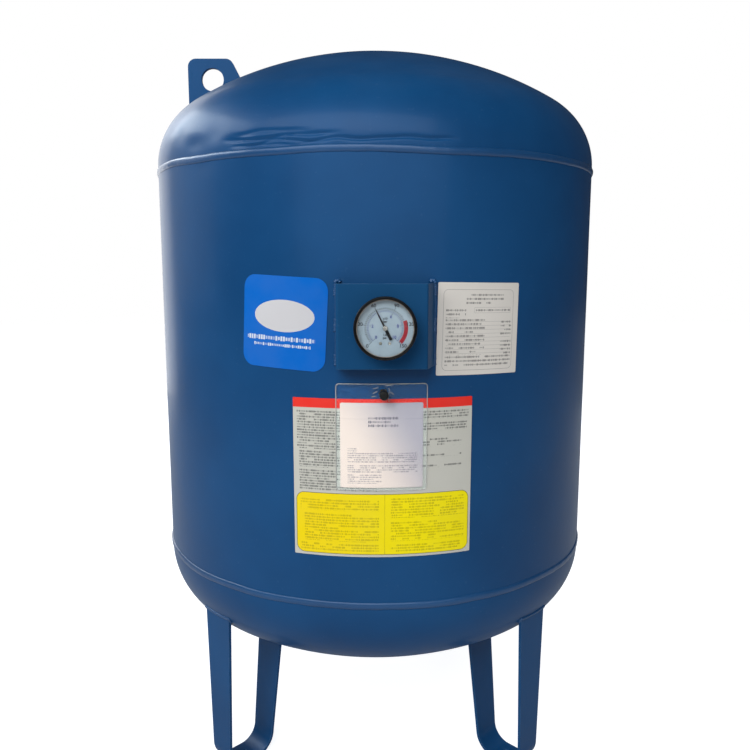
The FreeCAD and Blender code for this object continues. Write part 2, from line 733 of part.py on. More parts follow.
def make_bladder():
    wall = S.bladder_wall
    lip_low = S.rim_height - flange_back
    lip_high = S.rim_height - neck_face
    neck = S.neck_bore_radius - S.bladder_neck_clearance
    lip_edge = S.bolt_circle_radius - bolt_hole_radius - S.bladder_lip_margin
    neck_top = S.rim_height - crown_height(S.neck_bore_radius, inside=True) + S.bladder_neck_rise
    belly = S.bladder_belly_radius
    belly_low = neck_top + S.bladder_shoulder
    top = boss_bottom
    belly_high = top - S.bladder_shoulder
    collar = S.tie_disc_radius + S.bladder_collar_margin

    def shoulder(end_radius):
        """Arc that leaves the belly upright and reaches an end over the shoulder's height."""
        step = belly - end_radius
        return (step * step + S.bladder_shoulder * S.bladder_shoulder) / (step * 2)

    def inner_rise(end_radius, across):
        """Height of the inner face above the arc's centre at a radius from the axis."""
        reach = shoulder(end_radius) - wall
        aside = across - (belly - shoulder(end_radius))
        return root(reach * reach - aside * aside)

    body = new_body("bladder")
    turn_loop(body, [
        (neck - wall, lip_low), (lip_edge, lip_low), (lip_edge, lip_high), (neck, lip_high),
        (neck, neck_top, shoulder(neck), 1),
        (belly, belly_low), (belly, belly_high, shoulder(collar), 1),
        (collar, top), (S.tie_radius, top), (S.tie_radius, top - wall),
        (S.tie_disc_radius, top - wall),
        (collar, belly_high + inner_rise(collar, collar), shoulder(collar) - wall, -1),
        (belly - wall, belly_high), (belly - wall, belly_low, shoulder(neck) - wall, -1),
        (neck - wall, belly_low - inner_rise(neck, neck - wall))])


def make_top_fixing():
    boss = new_body("top_boss")
    turn_loop(boss, rectangle(tie_hole_radius, boss_bottom, S.boss_radius, boss_top))
    disc_top = boss_bottom - S.bladder_wall
    washer_top = boss_top + S.tie_washer_thickness
    nut_top = washer_top + S.tie_nut_height
    stem = new_body("bladder_tie_stem")
    disc_low = disc_top - S.tie_disc_thickness
    turn_loop(stem, [(0, disc_low), (S.tie_disc_radius, disc_low),
                     (S.tie_disc_radius, disc_top), (S.tie_radius, disc_top),
                     (S.tie_radius, nut_top + S.tie_tip), (0, nut_top + S.tie_tip)])
    washer = new_body("top_washer")
    turn_loop(washer, rectangle(tie_hole_radius, boss_top, S.tie_washer_radius, washer_top))
    nut = new_body("top_nut")
    extrude(nut, "XY_Plane", [hexagon(S.tie_nut_flats)], S.tie_nut_height,
            circles=[((0, 0), S.tie_radius)])
    place(nut, height=washer_top)


# Gauge bracket, boss and gauge, drawn with local Z forward from the tank's axis
bracket_front = shell_radius + S.bracket_stand_off
bracket_depth = S.bracket_stand_off * 1.5
boss_front = shell_radius + S.gauge_boss_reach
hexagon_back = boss_front + S.gasket_thickness
case_back = bracket_front + S.case_gap
case_front = case_back + S.case_depth
lens_front = case_front + S.lens_thickness
dial_face = case_front - S.dial_depth
dial_back = dial_face - S.dial_thickness
pointer_back = dial_face + S.pointer_gap
pointer_front = pointer_back + S.pointer_thickness
block_front = case_back + S.case_wall + S.block_thickness


def bracket_side(face_edge, flare):
    """Distances from the gauge's axis to a side's outer foot, inner foot and inner fold."""
    spread = flare / S.bracket_stand_off
    foot = face_edge + spread * bracket_depth
    sheet_step = S.bracket_sheet * root(spread * spread + 1)
    return foot, foot - sheet_step, face_edge - sheet_step + spread * S.bracket_sheet


def make_bracket():
    """Sheet folded into a shallow channel whose sides spread towards the shell."""
    left_foot, left_inside, left_fold = bracket_side(S.bracket_left, S.bracket_left_flare)
    right_foot, right_inside, right_fold = bracket_side(S.bracket_right, S.bracket_right_flare)
    back = bracket_front - bracket_depth
    sheet_back = bracket_front - S.bracket_sheet
    body = new_body("gauge_bracket")
    extrude(body, "XY_Plane", [[
        (-left_foot, -back), (-S.bracket_left, -bracket_front),
        (S.bracket_right, -bracket_front), (right_foot, -back),
        (right_inside, -back), (right_fold, -sheet_back),
        (-left_fold, -sheet_back), (-left_inside, -back)]],
        S.bracket_length, middle=True)

    def fold(front, left, right):
        """Test for the upright edges at a face's two ends."""
        return lambda edge: (abs(edge.CenterOfMass.y + front.value) < 0.5
                             and min(abs(edge.CenterOfMass.x + left.value),
                                     abs(edge.CenterOfMass.x - right.value)) < 0.5
                             and edge.Length > S.bracket_length.value - 1)

    round_edges(body, S.bracket_fold, fold(bracket_front, S.bracket_left, S.bracket_right))
    round_edges(body, S.bracket_fold - S.bracket_sheet,
                fold(sheet_back, left_fold, right_fold))
    cut_through(body, "XY_Plane", both=True, circles=[((0, 0), shell_radius)])
    cut_through(body, "XZ_Plane", back=True, circles=[((0, 0), S.bracket_hole_radius)])
    place(body, height=gauge_height)


def front_turned(label, corners, height=None, degrees=360):
    """Turned piece whose axis runs forward through the gauge's or the valve's centre."""
    body = new_body(label)
    turn_loop(body, corners, degrees)
    face_front(body, gauge_height if height is None else height)
    return body


def make_gauge_connection():
    inside = shell_inside - S.weld_boss_inside
    front_turned("gauge_boss",
                 rectangle(S.socket_radius, inside, S.gauge_boss_radius, boss_front))
    front_turned("gauge_gasket",
                 rectangle(S.socket_radius, boss_front, S.gasket_radius, hexagon_back))
    socket = front_turned("gauge_socket", [
        (S.socket_bore_radius, boss_front - S.socket_engagement),
        (S.socket_radius, boss_front - S.socket_engagement),
        (S.socket_radius, hexagon_back),
        (S.socket_neck_radius, hexagon_back),
        (S.socket_neck_radius, case_back + S.case_wall),
        (S.block_radius, case_back + S.case_wall),
        (S.block_radius, block_front),
        (0, block_front),
        (0, case_back + S.case_wall),
        (S.socket_bore_radius, case_back)])
    extrude(socket, "XY_Plane", [hexagon(S.socket_flats)], case_back - hexagon_back,
            raise_by=hexagon_back, circles=[((0, 0), S.socket_neck_radius)])


def make_gauge_case():
    inside = S.case_radius - S.case_wall
    front_turned("gauge_case", [
        (S.socket_neck_radius, case_back), (S.case_radius, case_back),
        (S.case_radius, case_front), (inside, case_front),
        (inside, case_back + S.case_wall), (S.socket_neck_radius, case_back + S.case_wall)])
    hold = S.case_radius + S.bezel_clearance
    front = lens_front + S.bezel_lip
    back = front - S.bezel_depth
    round_by = S.bezel_round
    front_turned("gauge_bezel", [
        (hold, back), (S.bezel_radius - round_by, back, round_by, 1),
        (S.bezel_radius, back + round_by), (S.bezel_radius, front - round_by, round_by, 1),
        (S.bezel_radius - round_by, front), (S.bezel_window_radius, front),
        (S.bezel_window_radius, lens_front), (hold, lens_front)])
    front_turned("gauge_lens", rectangle(0, case_front, S.case_radius, lens_front))


def make_gauge_works():
    dial = front_turned("gauge_dial",
                        rectangle(S.dial_hole_radius, dial_back, S.dial_radius, dial_face))
    half_wide, half_high = S.movement_width / 2, S.movement_breadth / 2
    plate = rectangle(-half_wide, -half_high, half_wide, half_high)
    bearing = S.arbor_radius + S.arbor_clearance
    movement = new_body("gauge_movement")
    extrude(movement, "XY_Plane", [plate], S.movement_plate, raise_by=block_front)
    inset = S.pillar_radius * 1.6
    spots = [((half_wide - inset) * across, (half_high - inset) * up)
             for across in (1, -1) for up in (1, -1)]
    extrude(movement, "XY_Plane", [], dial_back - block_front - S.movement_plate,
            raise_by=block_front + S.movement_plate,
            circles=[(spot, S.pillar_radius) for spot in spots])
    extrude(movement, "XY_Plane", [plate], S.movement_plate,
            raise_by=dial_back - S.movement_plate * 2)
    cut_through(movement, "XY_Plane", raise_by=dial_back, circles=[((0, 0), bearing)],
                depth=dial_back - block_front - S.arbor_seat)
    face_front(movement, gauge_height)

    half_width, half_height = S.tube_width / 2, S.tube_height / 2
    middle = (block_front + dial_back) / 2
    tube = new_body("spring_tube")
    sketch_outer = rectangle(S.tube_radius - half_width, middle - half_height,
                             S.tube_radius + half_width, middle + half_height)
    sketch_inner = rectangle(S.tube_radius - half_width + S.tube_wall,
                             middle - half_height + S.tube_wall,
                             S.tube_radius + half_width - S.tube_wall,
                             middle + half_height - S.tube_wall)
    turn_loop(tube, sketch_outer, S.tube_sweep)
    turn_loop(tube, sketch_inner, S.tube_sweep, cut=True)
    arm_back = block_front - S.block_thickness
    extrude(tube, "XY_Plane",
            [rectangle(S.block_radius, -half_width, S.tube_radius + half_width, half_width)],
            S.block_thickness - S.arm_clearance, raise_by=arm_back)
    extrude(tube, "XY_Plane",
            [rectangle(S.tube_radius - half_width, -S.tube_width, S.tube_radius + half_width, 0)],
            middle + half_height - arm_back, raise_by=arm_back)
    face_front(tube, gauge_height)


def make_pointer():
    root_half, tip_half = S.pointer_root_width / 2, S.pointer_tip_width / 2
    weight_half = S.pointer_weight_width / 2
    pointer = new_body("gauge_pointer")
    extrude(pointer, "XY_Plane", [[
        (-weight_half, -S.pointer_tail), (weight_half, -S.pointer_tail),
        (weight_half, -S.pointer_weight_start), (root_half, 0), (tip_half, S.pointer_reach),
        (-tip_half, S.pointer_reach), (-root_half, 0), (-weight_half, -S.pointer_weight_start)]],
        S.pointer_thickness, raise_by=pointer_back)
    extrude(pointer, "XY_Plane", [], S.pointer_thickness, raise_by=pointer_back,
            circles=[((0, 0), S.pointer_eye_radius)])
    cut_through(pointer, "XY_Plane", raise_by=pointer_front,
                circles=[((0, 0), S.arbor_radius)])
    pointer.Placement = FreeCAD.Placement(
        FreeCAD.Vector(0, 0, 0),
        FreeCAD.Rotation(FreeCAD.Vector(1, 0, 0), 90)
        * FreeCAD.Rotation(FreeCAD.Vector(0, 0, -1), S.pointer_angle.value))
    pointer.setExpression("Placement.Base.z", gauge_height.text)
    arbor_back = block_front + S.arbor_seat
    front_turned("pointer_arbor", [
        (0, arbor_back), (S.arbor_radius, arbor_back), (S.arbor_radius, pointer_front),
        (S.hub_radius, pointer_front),
        (S.hub_radius - S.hub_height / 2, pointer_front + S.hub_height),
        (0, pointer_front + S.hub_height)])


# Air valve
valve_boss_front = shell_radius + S.valve_boss_reach
outlet_back = valve_boss_front + S.valve_hexagon
outlet_front = outlet_back + S.valve_tube_length


def make_air_valve():
    inside = shell_inside - S.weld_boss_inside
    front_turned("valve_boss",
                 rectangle(S.valve_thread_radius, inside, S.valve_boss_radius, valve_boss_front),
                 valve_height)
    core_back = outlet_back
    core_front = outlet_front - S.valve_core_recess
    thread_back = valve_boss_front - S.valve_engagement
    passage = S.valve_core_radius / 2
    valve = front_turned("valve_body", [
        (passage, thread_back), (S.valve_thread_radius, thread_back),
        (S.valve_thread_radius, valve_boss_front), (S.valve_tube_radius, valve_boss_front),
        (S.valve_tube_radius, outlet_front), (S.valve_core_radius, outlet_front),
        (S.valve_core_radius, core_back), (passage, core_back)], valve_height)
    extrude(valve, "XY_Plane", [hexagon(S.valve_flats)], S.valve_hexagon,
            raise_by=valve_boss_front, circles=[((0, 0), S.valve_tube_radius)])
    front_turned("valve_core", rectangle(0, core_back, S.valve_core_radius, core_front),
                 valve_height)
    bore = S.valve_tube_radius + S.cap_clearance
    cap_end = outlet_front + S.cap_clearance
    front_turned("valve_cap", [
        (bore, outlet_back + S.cap_clearance), (S.cap_radius, outlet_back + S.cap_clearance),
        (S.cap_radius, cap_end), (S.cap_radius - S.cap_wall, cap_end + S.cap_wall),
        (0, cap_end + S.cap_wall), (0, cap_end), (bore, cap_end)], valve_height)


# Printed labels and the document pocket, bent round the shell
def bent_sheet(label, back, thickness, half_width, bottom, top, corner=None, shift=0):
    """Part of a thin ring round the tank's axis, cut to an outline seen from the front.

    A sheet with plain corners can be shifted to the left.
    """
    body = new_body(label)
    front = back + thickness
    extrude(body, "XY_Plane", [], top - bottom, raise_by=bottom,
            circles=[((0, 0), back), ((0, 0), front)])
    beyond = front + S.shell_wall
    cut_through(body, "XY_Plane", raise_by=top, loops=[rectangle(-beyond, 0, beyond, beyond)])
    if corner is None:
        outline = rectangle(-half_width - shift, bottom, half_width - shift, top)
    else:
        outline = rounded_rectangle(half_width, bottom, top, corner)
    frame = rectangle(-beyond, bottom - S.shell_wall, beyond, top + S.shell_wall)
    cut_through(body, "XZ_Plane", loops=[frame, outline], back=True)
    return body


def make_label(label, width, bottom, top, corner, azimuth=None):
    body = bent_sheet(label, shell_radius + S.label_adhesive, S.label_thickness, width / 2,
                      bottom, top, corner)
    if azimuth is not None:
        place(body, turn=azimuth)


def make_pocket():
    back = shell_radius + S.pocket_gap
    top = valve_height + S.pocket_above_valve
    bottom = top - S.pocket_length
    half = S.pocket_width / 2
    pocket = bent_sheet("document_pocket", back, S.pocket_depth, half, bottom, top,
                        shift=S.pocket_shift)
    room_back = back + S.pocket_film
    room_front = back + S.pocket_depth - S.pocket_film
    left = half - S.pocket_seam + S.pocket_shift
    right = half - S.pocket_seam - S.pocket_shift
    room_floor = bottom + S.pocket_seam

    def across(radius, aside):
        """Distance from the axis at which an arc of the room reaches one side."""
        return root(radius * radius - aside * aside)

    cut_through(pocket, "XY_Plane", raise_by=top, depth=top - room_floor, loops=[[
        (-left, -across(room_back, left)), (-left, -across(room_front, left), room_front, 1),
        (right, -across(room_front, right)), (right, -across(room_back, right), room_back, -1)]])
    cut_through(pocket, "XZ_Plane", back=True, circles=[
        ((0, valve_height), S.valve_boss_radius + S.pocket_hole_clearance)])
    bent_sheet("document_sheet", room_back + S.sheet_clearance,
               room_front - room_back - S.sheet_clearance * 2, S.sheet_width / 2,
               room_floor + S.sheet_clearance, room_floor + S.sheet_clearance + S.sheet_length,
               shift=S.pocket_shift)


make_shell()
make_head("upper_head", S.boss_radius, upper=True)
make_head("lower_head", S.neck_bore_radius, upper=False)
make_seam_bead("upper_seam_weld", upper=True)
make_seam_bead("lower_seam_weld", upper=False)
make_long_bead()
for number, turn in leg_azimuths():
    make_leg(f"leg_{number + 1}", turn)
make_lug()
make_neck_ring()
make_counter_flange()
make_nipple()
make_flange_bolts()
make_bladder()
make_top_fixing()
make_bracket()
make_gauge_connection()
make_gauge_case()
make_gauge_works()
make_pointer()
make_air_valve()
make_label("product_label", S.product_label_width,
           product_label_top - S.product_label_length, product_label_top, S.label_corner)
blue_label_low = product_label_top + S.blue_label_rise
make_label("blue_label", S.blue_label_width, blue_label_low,
           blue_label_low + S.blue_label_length, S.blue_label_corner, S.blue_label_azimuth)
rating_label_low = product_label_top + S.rating_label_rise
make_label("rating_label", S.rating_label_width, rating_label_low,
           rating_label_low + S.rating_label_length, S.label_corner, S.rating_label_azimuth)
make_pocket()

doc.recompute()
for item in doc.Objects:
    if {"Invalid", "Error"} & set(item.State):
        raise RuntimeError(f"{item.Label} failed: {item.State}")
for node in nodes:
    if node.Shape.isNull() or not node.Shape.isValid() or not node.Shape.Solids:
        raise RuntimeError(f"{node.Label} has no valid shape")
for node in nodes:
    node.Shape.exportStep(f"parts/{node.Label}.step")
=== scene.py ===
"""Looks of an upright pressure tank: blue enamel, weld beads, dial gauge, labels and document pocket."""
import math

import bpy
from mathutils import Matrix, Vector, geometry, noise


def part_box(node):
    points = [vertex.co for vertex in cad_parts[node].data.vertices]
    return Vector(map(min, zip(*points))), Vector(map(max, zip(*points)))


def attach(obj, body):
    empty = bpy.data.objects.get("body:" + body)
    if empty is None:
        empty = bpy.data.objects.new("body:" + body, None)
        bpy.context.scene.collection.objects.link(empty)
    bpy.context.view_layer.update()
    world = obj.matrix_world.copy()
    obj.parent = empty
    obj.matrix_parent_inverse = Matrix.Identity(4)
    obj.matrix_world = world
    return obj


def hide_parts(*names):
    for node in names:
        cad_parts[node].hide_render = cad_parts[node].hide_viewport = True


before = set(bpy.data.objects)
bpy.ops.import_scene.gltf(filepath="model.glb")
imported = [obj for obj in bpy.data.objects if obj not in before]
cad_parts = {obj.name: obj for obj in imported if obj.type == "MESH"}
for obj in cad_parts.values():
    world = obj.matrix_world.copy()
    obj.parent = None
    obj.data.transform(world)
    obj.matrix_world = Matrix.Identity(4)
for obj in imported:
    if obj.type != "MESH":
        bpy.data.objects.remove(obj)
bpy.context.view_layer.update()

# Sizes read from the frame, in metres
SHELL_LOW, SHELL_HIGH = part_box("shell")
SHELL_RADIUS = SHELL_HIGH.x
LOWER_RIM = SHELL_LOW.z
UPPER_RIM = SHELL_HIGH.z
GAUGE_LOW, GAUGE_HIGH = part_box("gauge_dial")
GAUGE_CENTRE = (GAUGE_LOW.z + GAUGE_HIGH.z) / 2
DIAL_FACE = GAUGE_LOW.y
VALVE_LOW, VALVE_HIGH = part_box("valve_boss")
VALVE_CENTRE = (VALVE_LOW.z + VALVE_HIGH.z) / 2

# Sizes of the plate work, in metres, with the turn of the legs, lug and camera in radians
PLATE = 0.005
CROWN_RADIUS = 0.8 * 2 * SHELL_RADIUS
KNUCKLE_RADIUS = 0.154 * 2 * SHELL_RADIUS
SKIRT = 0.015
JOGGLE = 0.006
LAP = 0.022
LAP_GAP = 0.0002
FRAME_TURN = math.radians(-1.75)
LEG_COUNT = 4
LEG_PLATE = 0.006
LEG_OUTER = SHELL_RADIUS - 0.024
LEG_INNER = LEG_OUTER - 0.113
LEG_LEAN = math.tan(math.radians(6.2))
LEG_FOOT_WIDTH = 0.060
LEG_TOP_WIDTH = 0.092
LUG_OUTER = SHELL_RADIUS - 0.062
LUG_BASE = 0.135
LUG_HALF = 0.006
RING_SEGMENTS = 384

# One millimetre, in metres
MM = 0.001


# Nodes
def feed(tree, socket, value):
    """Join another node's output to a socket, or set the socket's own value."""
    if isinstance(value, bpy.types.NodeSocket):
        tree.links.new(value, socket)
    else:
        socket.default_value = value


def add_node(tree, kind, feeds=None, **settings):
    node = tree.nodes.new(kind)
    for name, value in settings.items():
        setattr(node, name, value)
    for key, value in (feeds or {}).items():
        feed(tree, node.inputs[key], value)
    return node


def socket_name(label):
    """A socket's name from a keyword, such as Tone Size from tone_size."""
    return label.replace("_", " ").title().replace("Ior", "IOR")


def maths(tree, operation, first, second=0.0, third=0.0):
    feeds = {0: first, 1: second, 2: third}
    return add_node(tree, "ShaderNodeMath", feeds, operation=operation).outputs[0]


def vector_maths(tree, operation, first, second=(0.0, 0.0, 0.0)):
    node = add_node(tree, "ShaderNodeVectorMath", {0: first, 1: second}, operation=operation)
    scalar = operation in ("DOT_PRODUCT", "LENGTH", "DISTANCE")
    return node.outputs["Value" if scalar else "Vector"]


def scaled(tree, vector, factor):
    node = add_node(tree, "ShaderNodeVectorMath", {0: vector, "Scale": factor}, operation="SCALE")
    return node.outputs["Vector"]


def blend_value(tree, factor, first, second):
    node = add_node(tree, "ShaderNodeMix", data_type="FLOAT")
    for index, value in ((0, factor), (2, first), (3, second)):
        feed(tree, node.inputs[index], value)
    return node.outputs[0]


def blend_colour(tree, factor, first, second):
    node = add_node(tree, "ShaderNodeMix", data_type="RGBA")
    for index, value in ((0, factor), (6, first), (7, second)):
        feed(tree, node.inputs[index], value)
    return node.outputs[2]


def step(tree, value, low, high, start=0.0, end=1.0):
    """A smooth step from start to end as the value goes from low to high."""
    feeds = {"Value": value, "From Min": low, "From Max": high, "To Min": start, "To Max": end}
    node = add_node(tree, "ShaderNodeMapRange", feeds, interpolation_type="SMOOTHSTEP")
    return node.outputs["Result"]


def noise_value(tree, vector, scale, detail=2.0, roughness=0.5):
    feeds = {"Vector": vector, "Scale": scale, "Detail": detail, "Roughness": roughness}
    return add_node(tree, "ShaderNodeTexNoise", feeds).outputs["Fac"]


def random_value(tree, vector):
    node = add_node(tree, "ShaderNodeTexWhiteNoise", {"Vector": vector}, noise_dimensions="3D")
    return node.outputs["Value"]


def join_xyz(tree, x, y, z=0.0):
    return add_node(tree, "ShaderNodeCombineXYZ", {0: x, 1: y, 2: z}).outputs[0]


def split_xyz(tree, vector):
    node = add_node(tree, "ShaderNodeSeparateXYZ", {0: vector})
    return node.outputs[0], node.outputs[1], node.outputs[2]


def object_place(tree):
    return add_node(tree, "ShaderNodeTexCoord").outputs["Object"]


def colour(red, green, blue):
    """A colour written in screen values from 0 to 255."""
    def linear(value):
        value = value / 255
        return value / 12.92 if value <= 0.04045 else ((value + 0.055) / 1.055) ** 2.4
    return linear(red), linear(green), linear(blue), 1.0


def new_group(name, inputs, outputs, kind="ShaderNodeTree"):
    """A node group with named sockets; inputs are (name, type, value)."""
    group = bpy.data.node_groups.new(name, kind)
    for label, socket_type, value in inputs:
        socket = group.interface.new_socket(label, in_out="INPUT", socket_type=socket_type)
        if value is not None:
            socket.default_value = value
    for label, socket_type in outputs:
        group.interface.new_socket(label, in_out="OUTPUT", socket_type=socket_type)
    return group, group.nodes.new("NodeGroupInput").outputs, group.nodes.new("NodeGroupOutput").inputs


FLOAT = "NodeSocketFloat"
VECTOR = "NodeSocketVector"
INTEGER = "NodeSocketInt"
GEOMETRY = "NodeSocketGeometry"
MATERIAL = "NodeSocketMaterial"


# Shader groups
def make_paint_group():
    """Spray paint: fine peel, slow change of tone, and specks."""
    group, given, out = new_group(
        "paint_surface",
        [("Peel Size", FLOAT, 0.004), ("Tone Size", FLOAT, 0.25), ("Speck Size", FLOAT, 0.006)],
        [("Height", FLOAT), ("Tone", FLOAT), ("Speck", FLOAT)])
    place = object_place(group)
    peel = noise_value(group, place, maths(group, "DIVIDE", 1.0, given["Peel Size"]), 2.0)
    wave = noise_value(group, place, maths(group, "DIVIDE", 0.25, given["Peel Size"]), 1.0)
    feed(group, out["Height"], blend_value(group, 0.6, peel, wave))
    tone = noise_value(group, place, maths(group, "DIVIDE", 1.0, given["Tone Size"]), 4.0, 0.55)
    feed(group, out["Tone"], step(group, tone, 0.3, 0.7))
    speck = noise_value(group, place, maths(group, "DIVIDE", 1.0, given["Speck Size"]), 1.0)
    feed(group, out["Speck"], step(group, speck, 0.70, 0.78))
    return group


def make_edge_group():
    """Edges of a plate: a rounded normal and a patchy mask that lightens them, which is painted highlight on
    the enamel and on the dark finishes.
    """
    group, given, out = new_group(
        "edge_lightening",
        [("Width", FLOAT, 0.002), ("Patch Size", FLOAT, 0.02)],
        [("Mask", FLOAT), ("Normal", VECTOR)])
    bevel = add_node(group, "ShaderNodeBevel", {"Radius": given["Width"]}, samples=4)
    flat = add_node(group, "ShaderNodeNewGeometry").outputs["Normal"]
    agreement = vector_maths(group, "DOT_PRODUCT", bevel.outputs["Normal"], flat)
    edge = step(group, agreement, 0.99, 0.85)
    place = object_place(group)
    patch = noise_value(group, place, maths(group, "DIVIDE", 1.0, given["Patch Size"]), 3.0)
    feed(group, out["Mask"], maths(group, "MULTIPLY", edge, step(group, patch, 0.30, 0.55)))
    feed(group, out["Normal"], bevel.outputs["Normal"])
    return group


def make_dust_group():
    """Dust that lies on what faces up, in soft drifts."""
    group, given, out = new_group(
        "settled_dust", [("Drift Size", FLOAT, 0.12), ("Amount", FLOAT, 0.5)], [("Mask", FLOAT)])
    normal = add_node(group, "ShaderNodeNewGeometry").outputs["Normal"]
    up = step(group, split_xyz(group, normal)[2], 0.35, 1.0)
    place = object_place(group)
    drift = noise_value(group, place, maths(group, "DIVIDE", 1.0, given["Drift Size"]), 5.0, 0.6)
    drift = step(group, drift, 0.35, 0.75)
    mask = maths(group, "MULTIPLY", maths(group, "MULTIPLY", up, drift), given["Amount"])
    feed(group, out["Mask"], mask)
    return group


# Small print: marks in a word, the share of words that are printed, and how much the rows' ends vary
WORD_MARKS = 6.0
WORDS_KEPT = 0.88
END_SPREAD = 0.9


def make_rows_group():
    """Rows of small print as bars of uneven marks; Vector is the label's own place in metres."""
    group, given, out = new_group(
        "print_rows",
        [("Vector", VECTOR, None), ("Row Pitch", FLOAT, 0.0055), ("Mark Width", FLOAT, 0.0021),
         ("Left", FLOAT, -0.05), ("Right", FLOAT, 0.05), ("Low", FLOAT, -0.05),
         ("High", FLOAT, 0.05), ("Fill", FLOAT, 0.8), ("Bar Half", FLOAT, 0.28), ("Seed", FLOAT, 0.0)],
        [("Mask", FLOAT)])
    across, along, _ = split_xyz(group, given["Vector"])
    row = maths(group, "DIVIDE", maths(group, "SUBTRACT", given["High"], along), given["Row Pitch"])
    row_number = maths(group, "FLOOR", row)
    in_row = maths(group, "ABSOLUTE", maths(group, "SUBTRACT", maths(group, "FRACT", row), 0.5))
    mark = maths(group, "FLOOR", maths(group, "DIVIDE", across, given["Mark Width"]))
    ink = random_value(group, join_xyz(group, mark, row_number, given["Seed"]))
    tall = maths(group, "MULTIPLY", maths(group, "GREATER_THAN", ink, 0.6), 0.10)
    slim = maths(group, "SUBTRACT", given["Bar Half"], 0.08)
    bar = step(group, maths(group, "SUBTRACT", in_row, tall), given["Bar Half"], slim)
    ink = step(group, ink, 0.05, 0.75, 0.45, 1.0)
    in_mark = maths(group, "FRACT", maths(group, "DIVIDE", across, given["Mark Width"]))
    ink = maths(group, "MULTIPLY", ink, step(group, in_mark, 0.18, 0.34))
    word = maths(group, "FLOOR", maths(group, "DIVIDE", mark, WORD_MARKS))
    word_seed = maths(group, "ADD", given["Seed"], 3.0)
    printed = maths(group, "LESS_THAN", random_value(group, join_xyz(group, word, row_number, word_seed)),
                    WORDS_KEPT)
    end_seed = maths(group, "ADD", given["Seed"], 7.0)
    reach = random_value(group, join_xyz(group, 0.5, row_number, end_seed))
    reach = maths(group, "ADD", maths(group, "MULTIPLY", reach, END_SPREAD), given["Fill"])
    width = maths(group, "SUBTRACT", given["Right"], given["Left"])
    right = maths(group, "MULTIPLY", width, maths(group, "MINIMUM", reach, 1.0))
    right = maths(group, "ADD", given["Left"], right)
    mask = maths(group, "MULTIPLY", maths(group, "MULTIPLY", bar, ink), printed)
    for limit in (maths(group, "GREATER_THAN", across, given["Left"]),
                  maths(group, "LESS_THAN", across, right),
                  maths(group, "GREATER_THAN", along, given["Low"]),
                  maths(group, "LESS_THAN", along, given["High"])):
        mask = maths(group, "MULTIPLY", mask, limit)
    feed(group, out["Mask"], mask)
    return group


def make_panel_group():
    """Signed distance to a rounded panel on a label, and its outline."""
    group, given, out = new_group(
        "rounded_panel",
        [("Vector", VECTOR, None), ("Centre", VECTOR, None), ("Half Size", VECTOR, None),
         ("Corner", FLOAT, 0.01), ("Line Width", FLOAT, 0.001)],
        [("Inside", FLOAT), ("Outline", FLOAT)])
    offset = vector_maths(group, "SUBTRACT", given["Vector"], given["Centre"])
    folded = vector_maths(group, "ABSOLUTE", offset)
    corner = join_xyz(group, given["Corner"], given["Corner"])
    past = vector_maths(group, "ADD", vector_maths(group, "SUBTRACT", folded, given["Half Size"]), corner)
    x, y, _ = split_xyz(group, past)
    outside = join_xyz(group, maths(group, "MAXIMUM", x, 0.0), maths(group, "MAXIMUM", y, 0.0))
    outside = vector_maths(group, "LENGTH", outside)
    within = maths(group, "MINIMUM", maths(group, "MAXIMUM", x, y), 0.0)
    distance = maths(group, "SUBTRACT", maths(group, "ADD", outside, within), given["Corner"])
    feed(group, out["Inside"], maths(group, "LESS_THAN", distance, 0.0))
    line = maths(group, "LESS_THAN", maths(group, "ABSOLUTE", distance), given["Line Width"])
    feed(group, out["Outline"], line)
    return group


GROUPS = {
    "paint": make_paint_group(),
    "edge": make_edge_group(),
    "dust": make_dust_group(),
    "rows": make_rows_group(),
    "panel": make_panel_group(),
}


def use_group(tree, name, **feeds):
    """Place a shader group; a feed's name has an underscore for each space."""
    node = add_node(tree, "ShaderNodeGroup", node_tree=GROUPS[name])
    for label, value in feeds.items():
        feed(tree, node.inputs[socket_name(label)], value)
    return node.outputs


# Materials
def new_material(name, **values):
    """A material whose shader sockets take the given plain values."""
    material = bpy.data.materials.new(name)
    material.use_nodes = True
    tree = material.node_tree
    shader = tree.nodes["Principled BSDF"]
    for label, value in values.items():
        feed(tree, shader.inputs[socket_name(label)], value)
    return material, tree, shader


def add_bump(tree, shader, height, distance, normal=None):
    feeds = {"Height": height, "Distance": distance, "Strength": 1.0}
    bump = add_node(tree, "ShaderNodeBump", feeds)
    if normal is not None:
        feed(tree, bump.inputs["Normal"], normal)
    feed(tree, shader.inputs["Normal"], bump.outputs["Normal"])


def make_enamel(name, edges=False, peel=0.00012, gloss=0.25, coat=0.10,
                deep=colour(4, 64, 113), pale=colour(9, 74, 126)):
    """Blue gloss enamel, dusty on top; where a plate has edges, they are rounded and lighter in patches, as
    painted highlight.
    """
    material, tree, shader = new_material(name, coat_weight=coat, coat_roughness=0.15,
                                          specular_ior_level=gloss)
    paint = use_group(tree, "paint", peel_size=0.0045, tone_size=0.35, speck_size=0.007)
    dust = use_group(tree, "dust", drift_size=0.16, amount=0.06)["Mask"]
    base = blend_colour(tree, paint["Tone"], deep, pale)
    base = blend_colour(tree, maths(tree, "MULTIPLY", paint["Speck"], 0.10), base, colour(80, 115, 150))
    base = blend_colour(tree, dust, base, colour(120, 132, 145))
    normal = None
    if edges:
        edge = use_group(tree, "edge", width=0.0016, patch_size=0.03)
        # Lighter blue along the edges: painted highlight.
        base = blend_colour(tree, maths(tree, "MULTIPLY", edge["Mask"], 0.8), base, colour(92, 132, 172))
        normal = edge["Normal"]
    feed(tree, shader.inputs["Base Color"], base)
    rough = maths(tree, "MULTIPLY_ADD", paint["Tone"], 0.06, 0.34)
    feed(tree, shader.inputs["Roughness"], maths(tree, "MULTIPLY_ADD", dust, 0.5, rough))
    add_bump(tree, shader, paint["Height"], peel, normal)
    return material


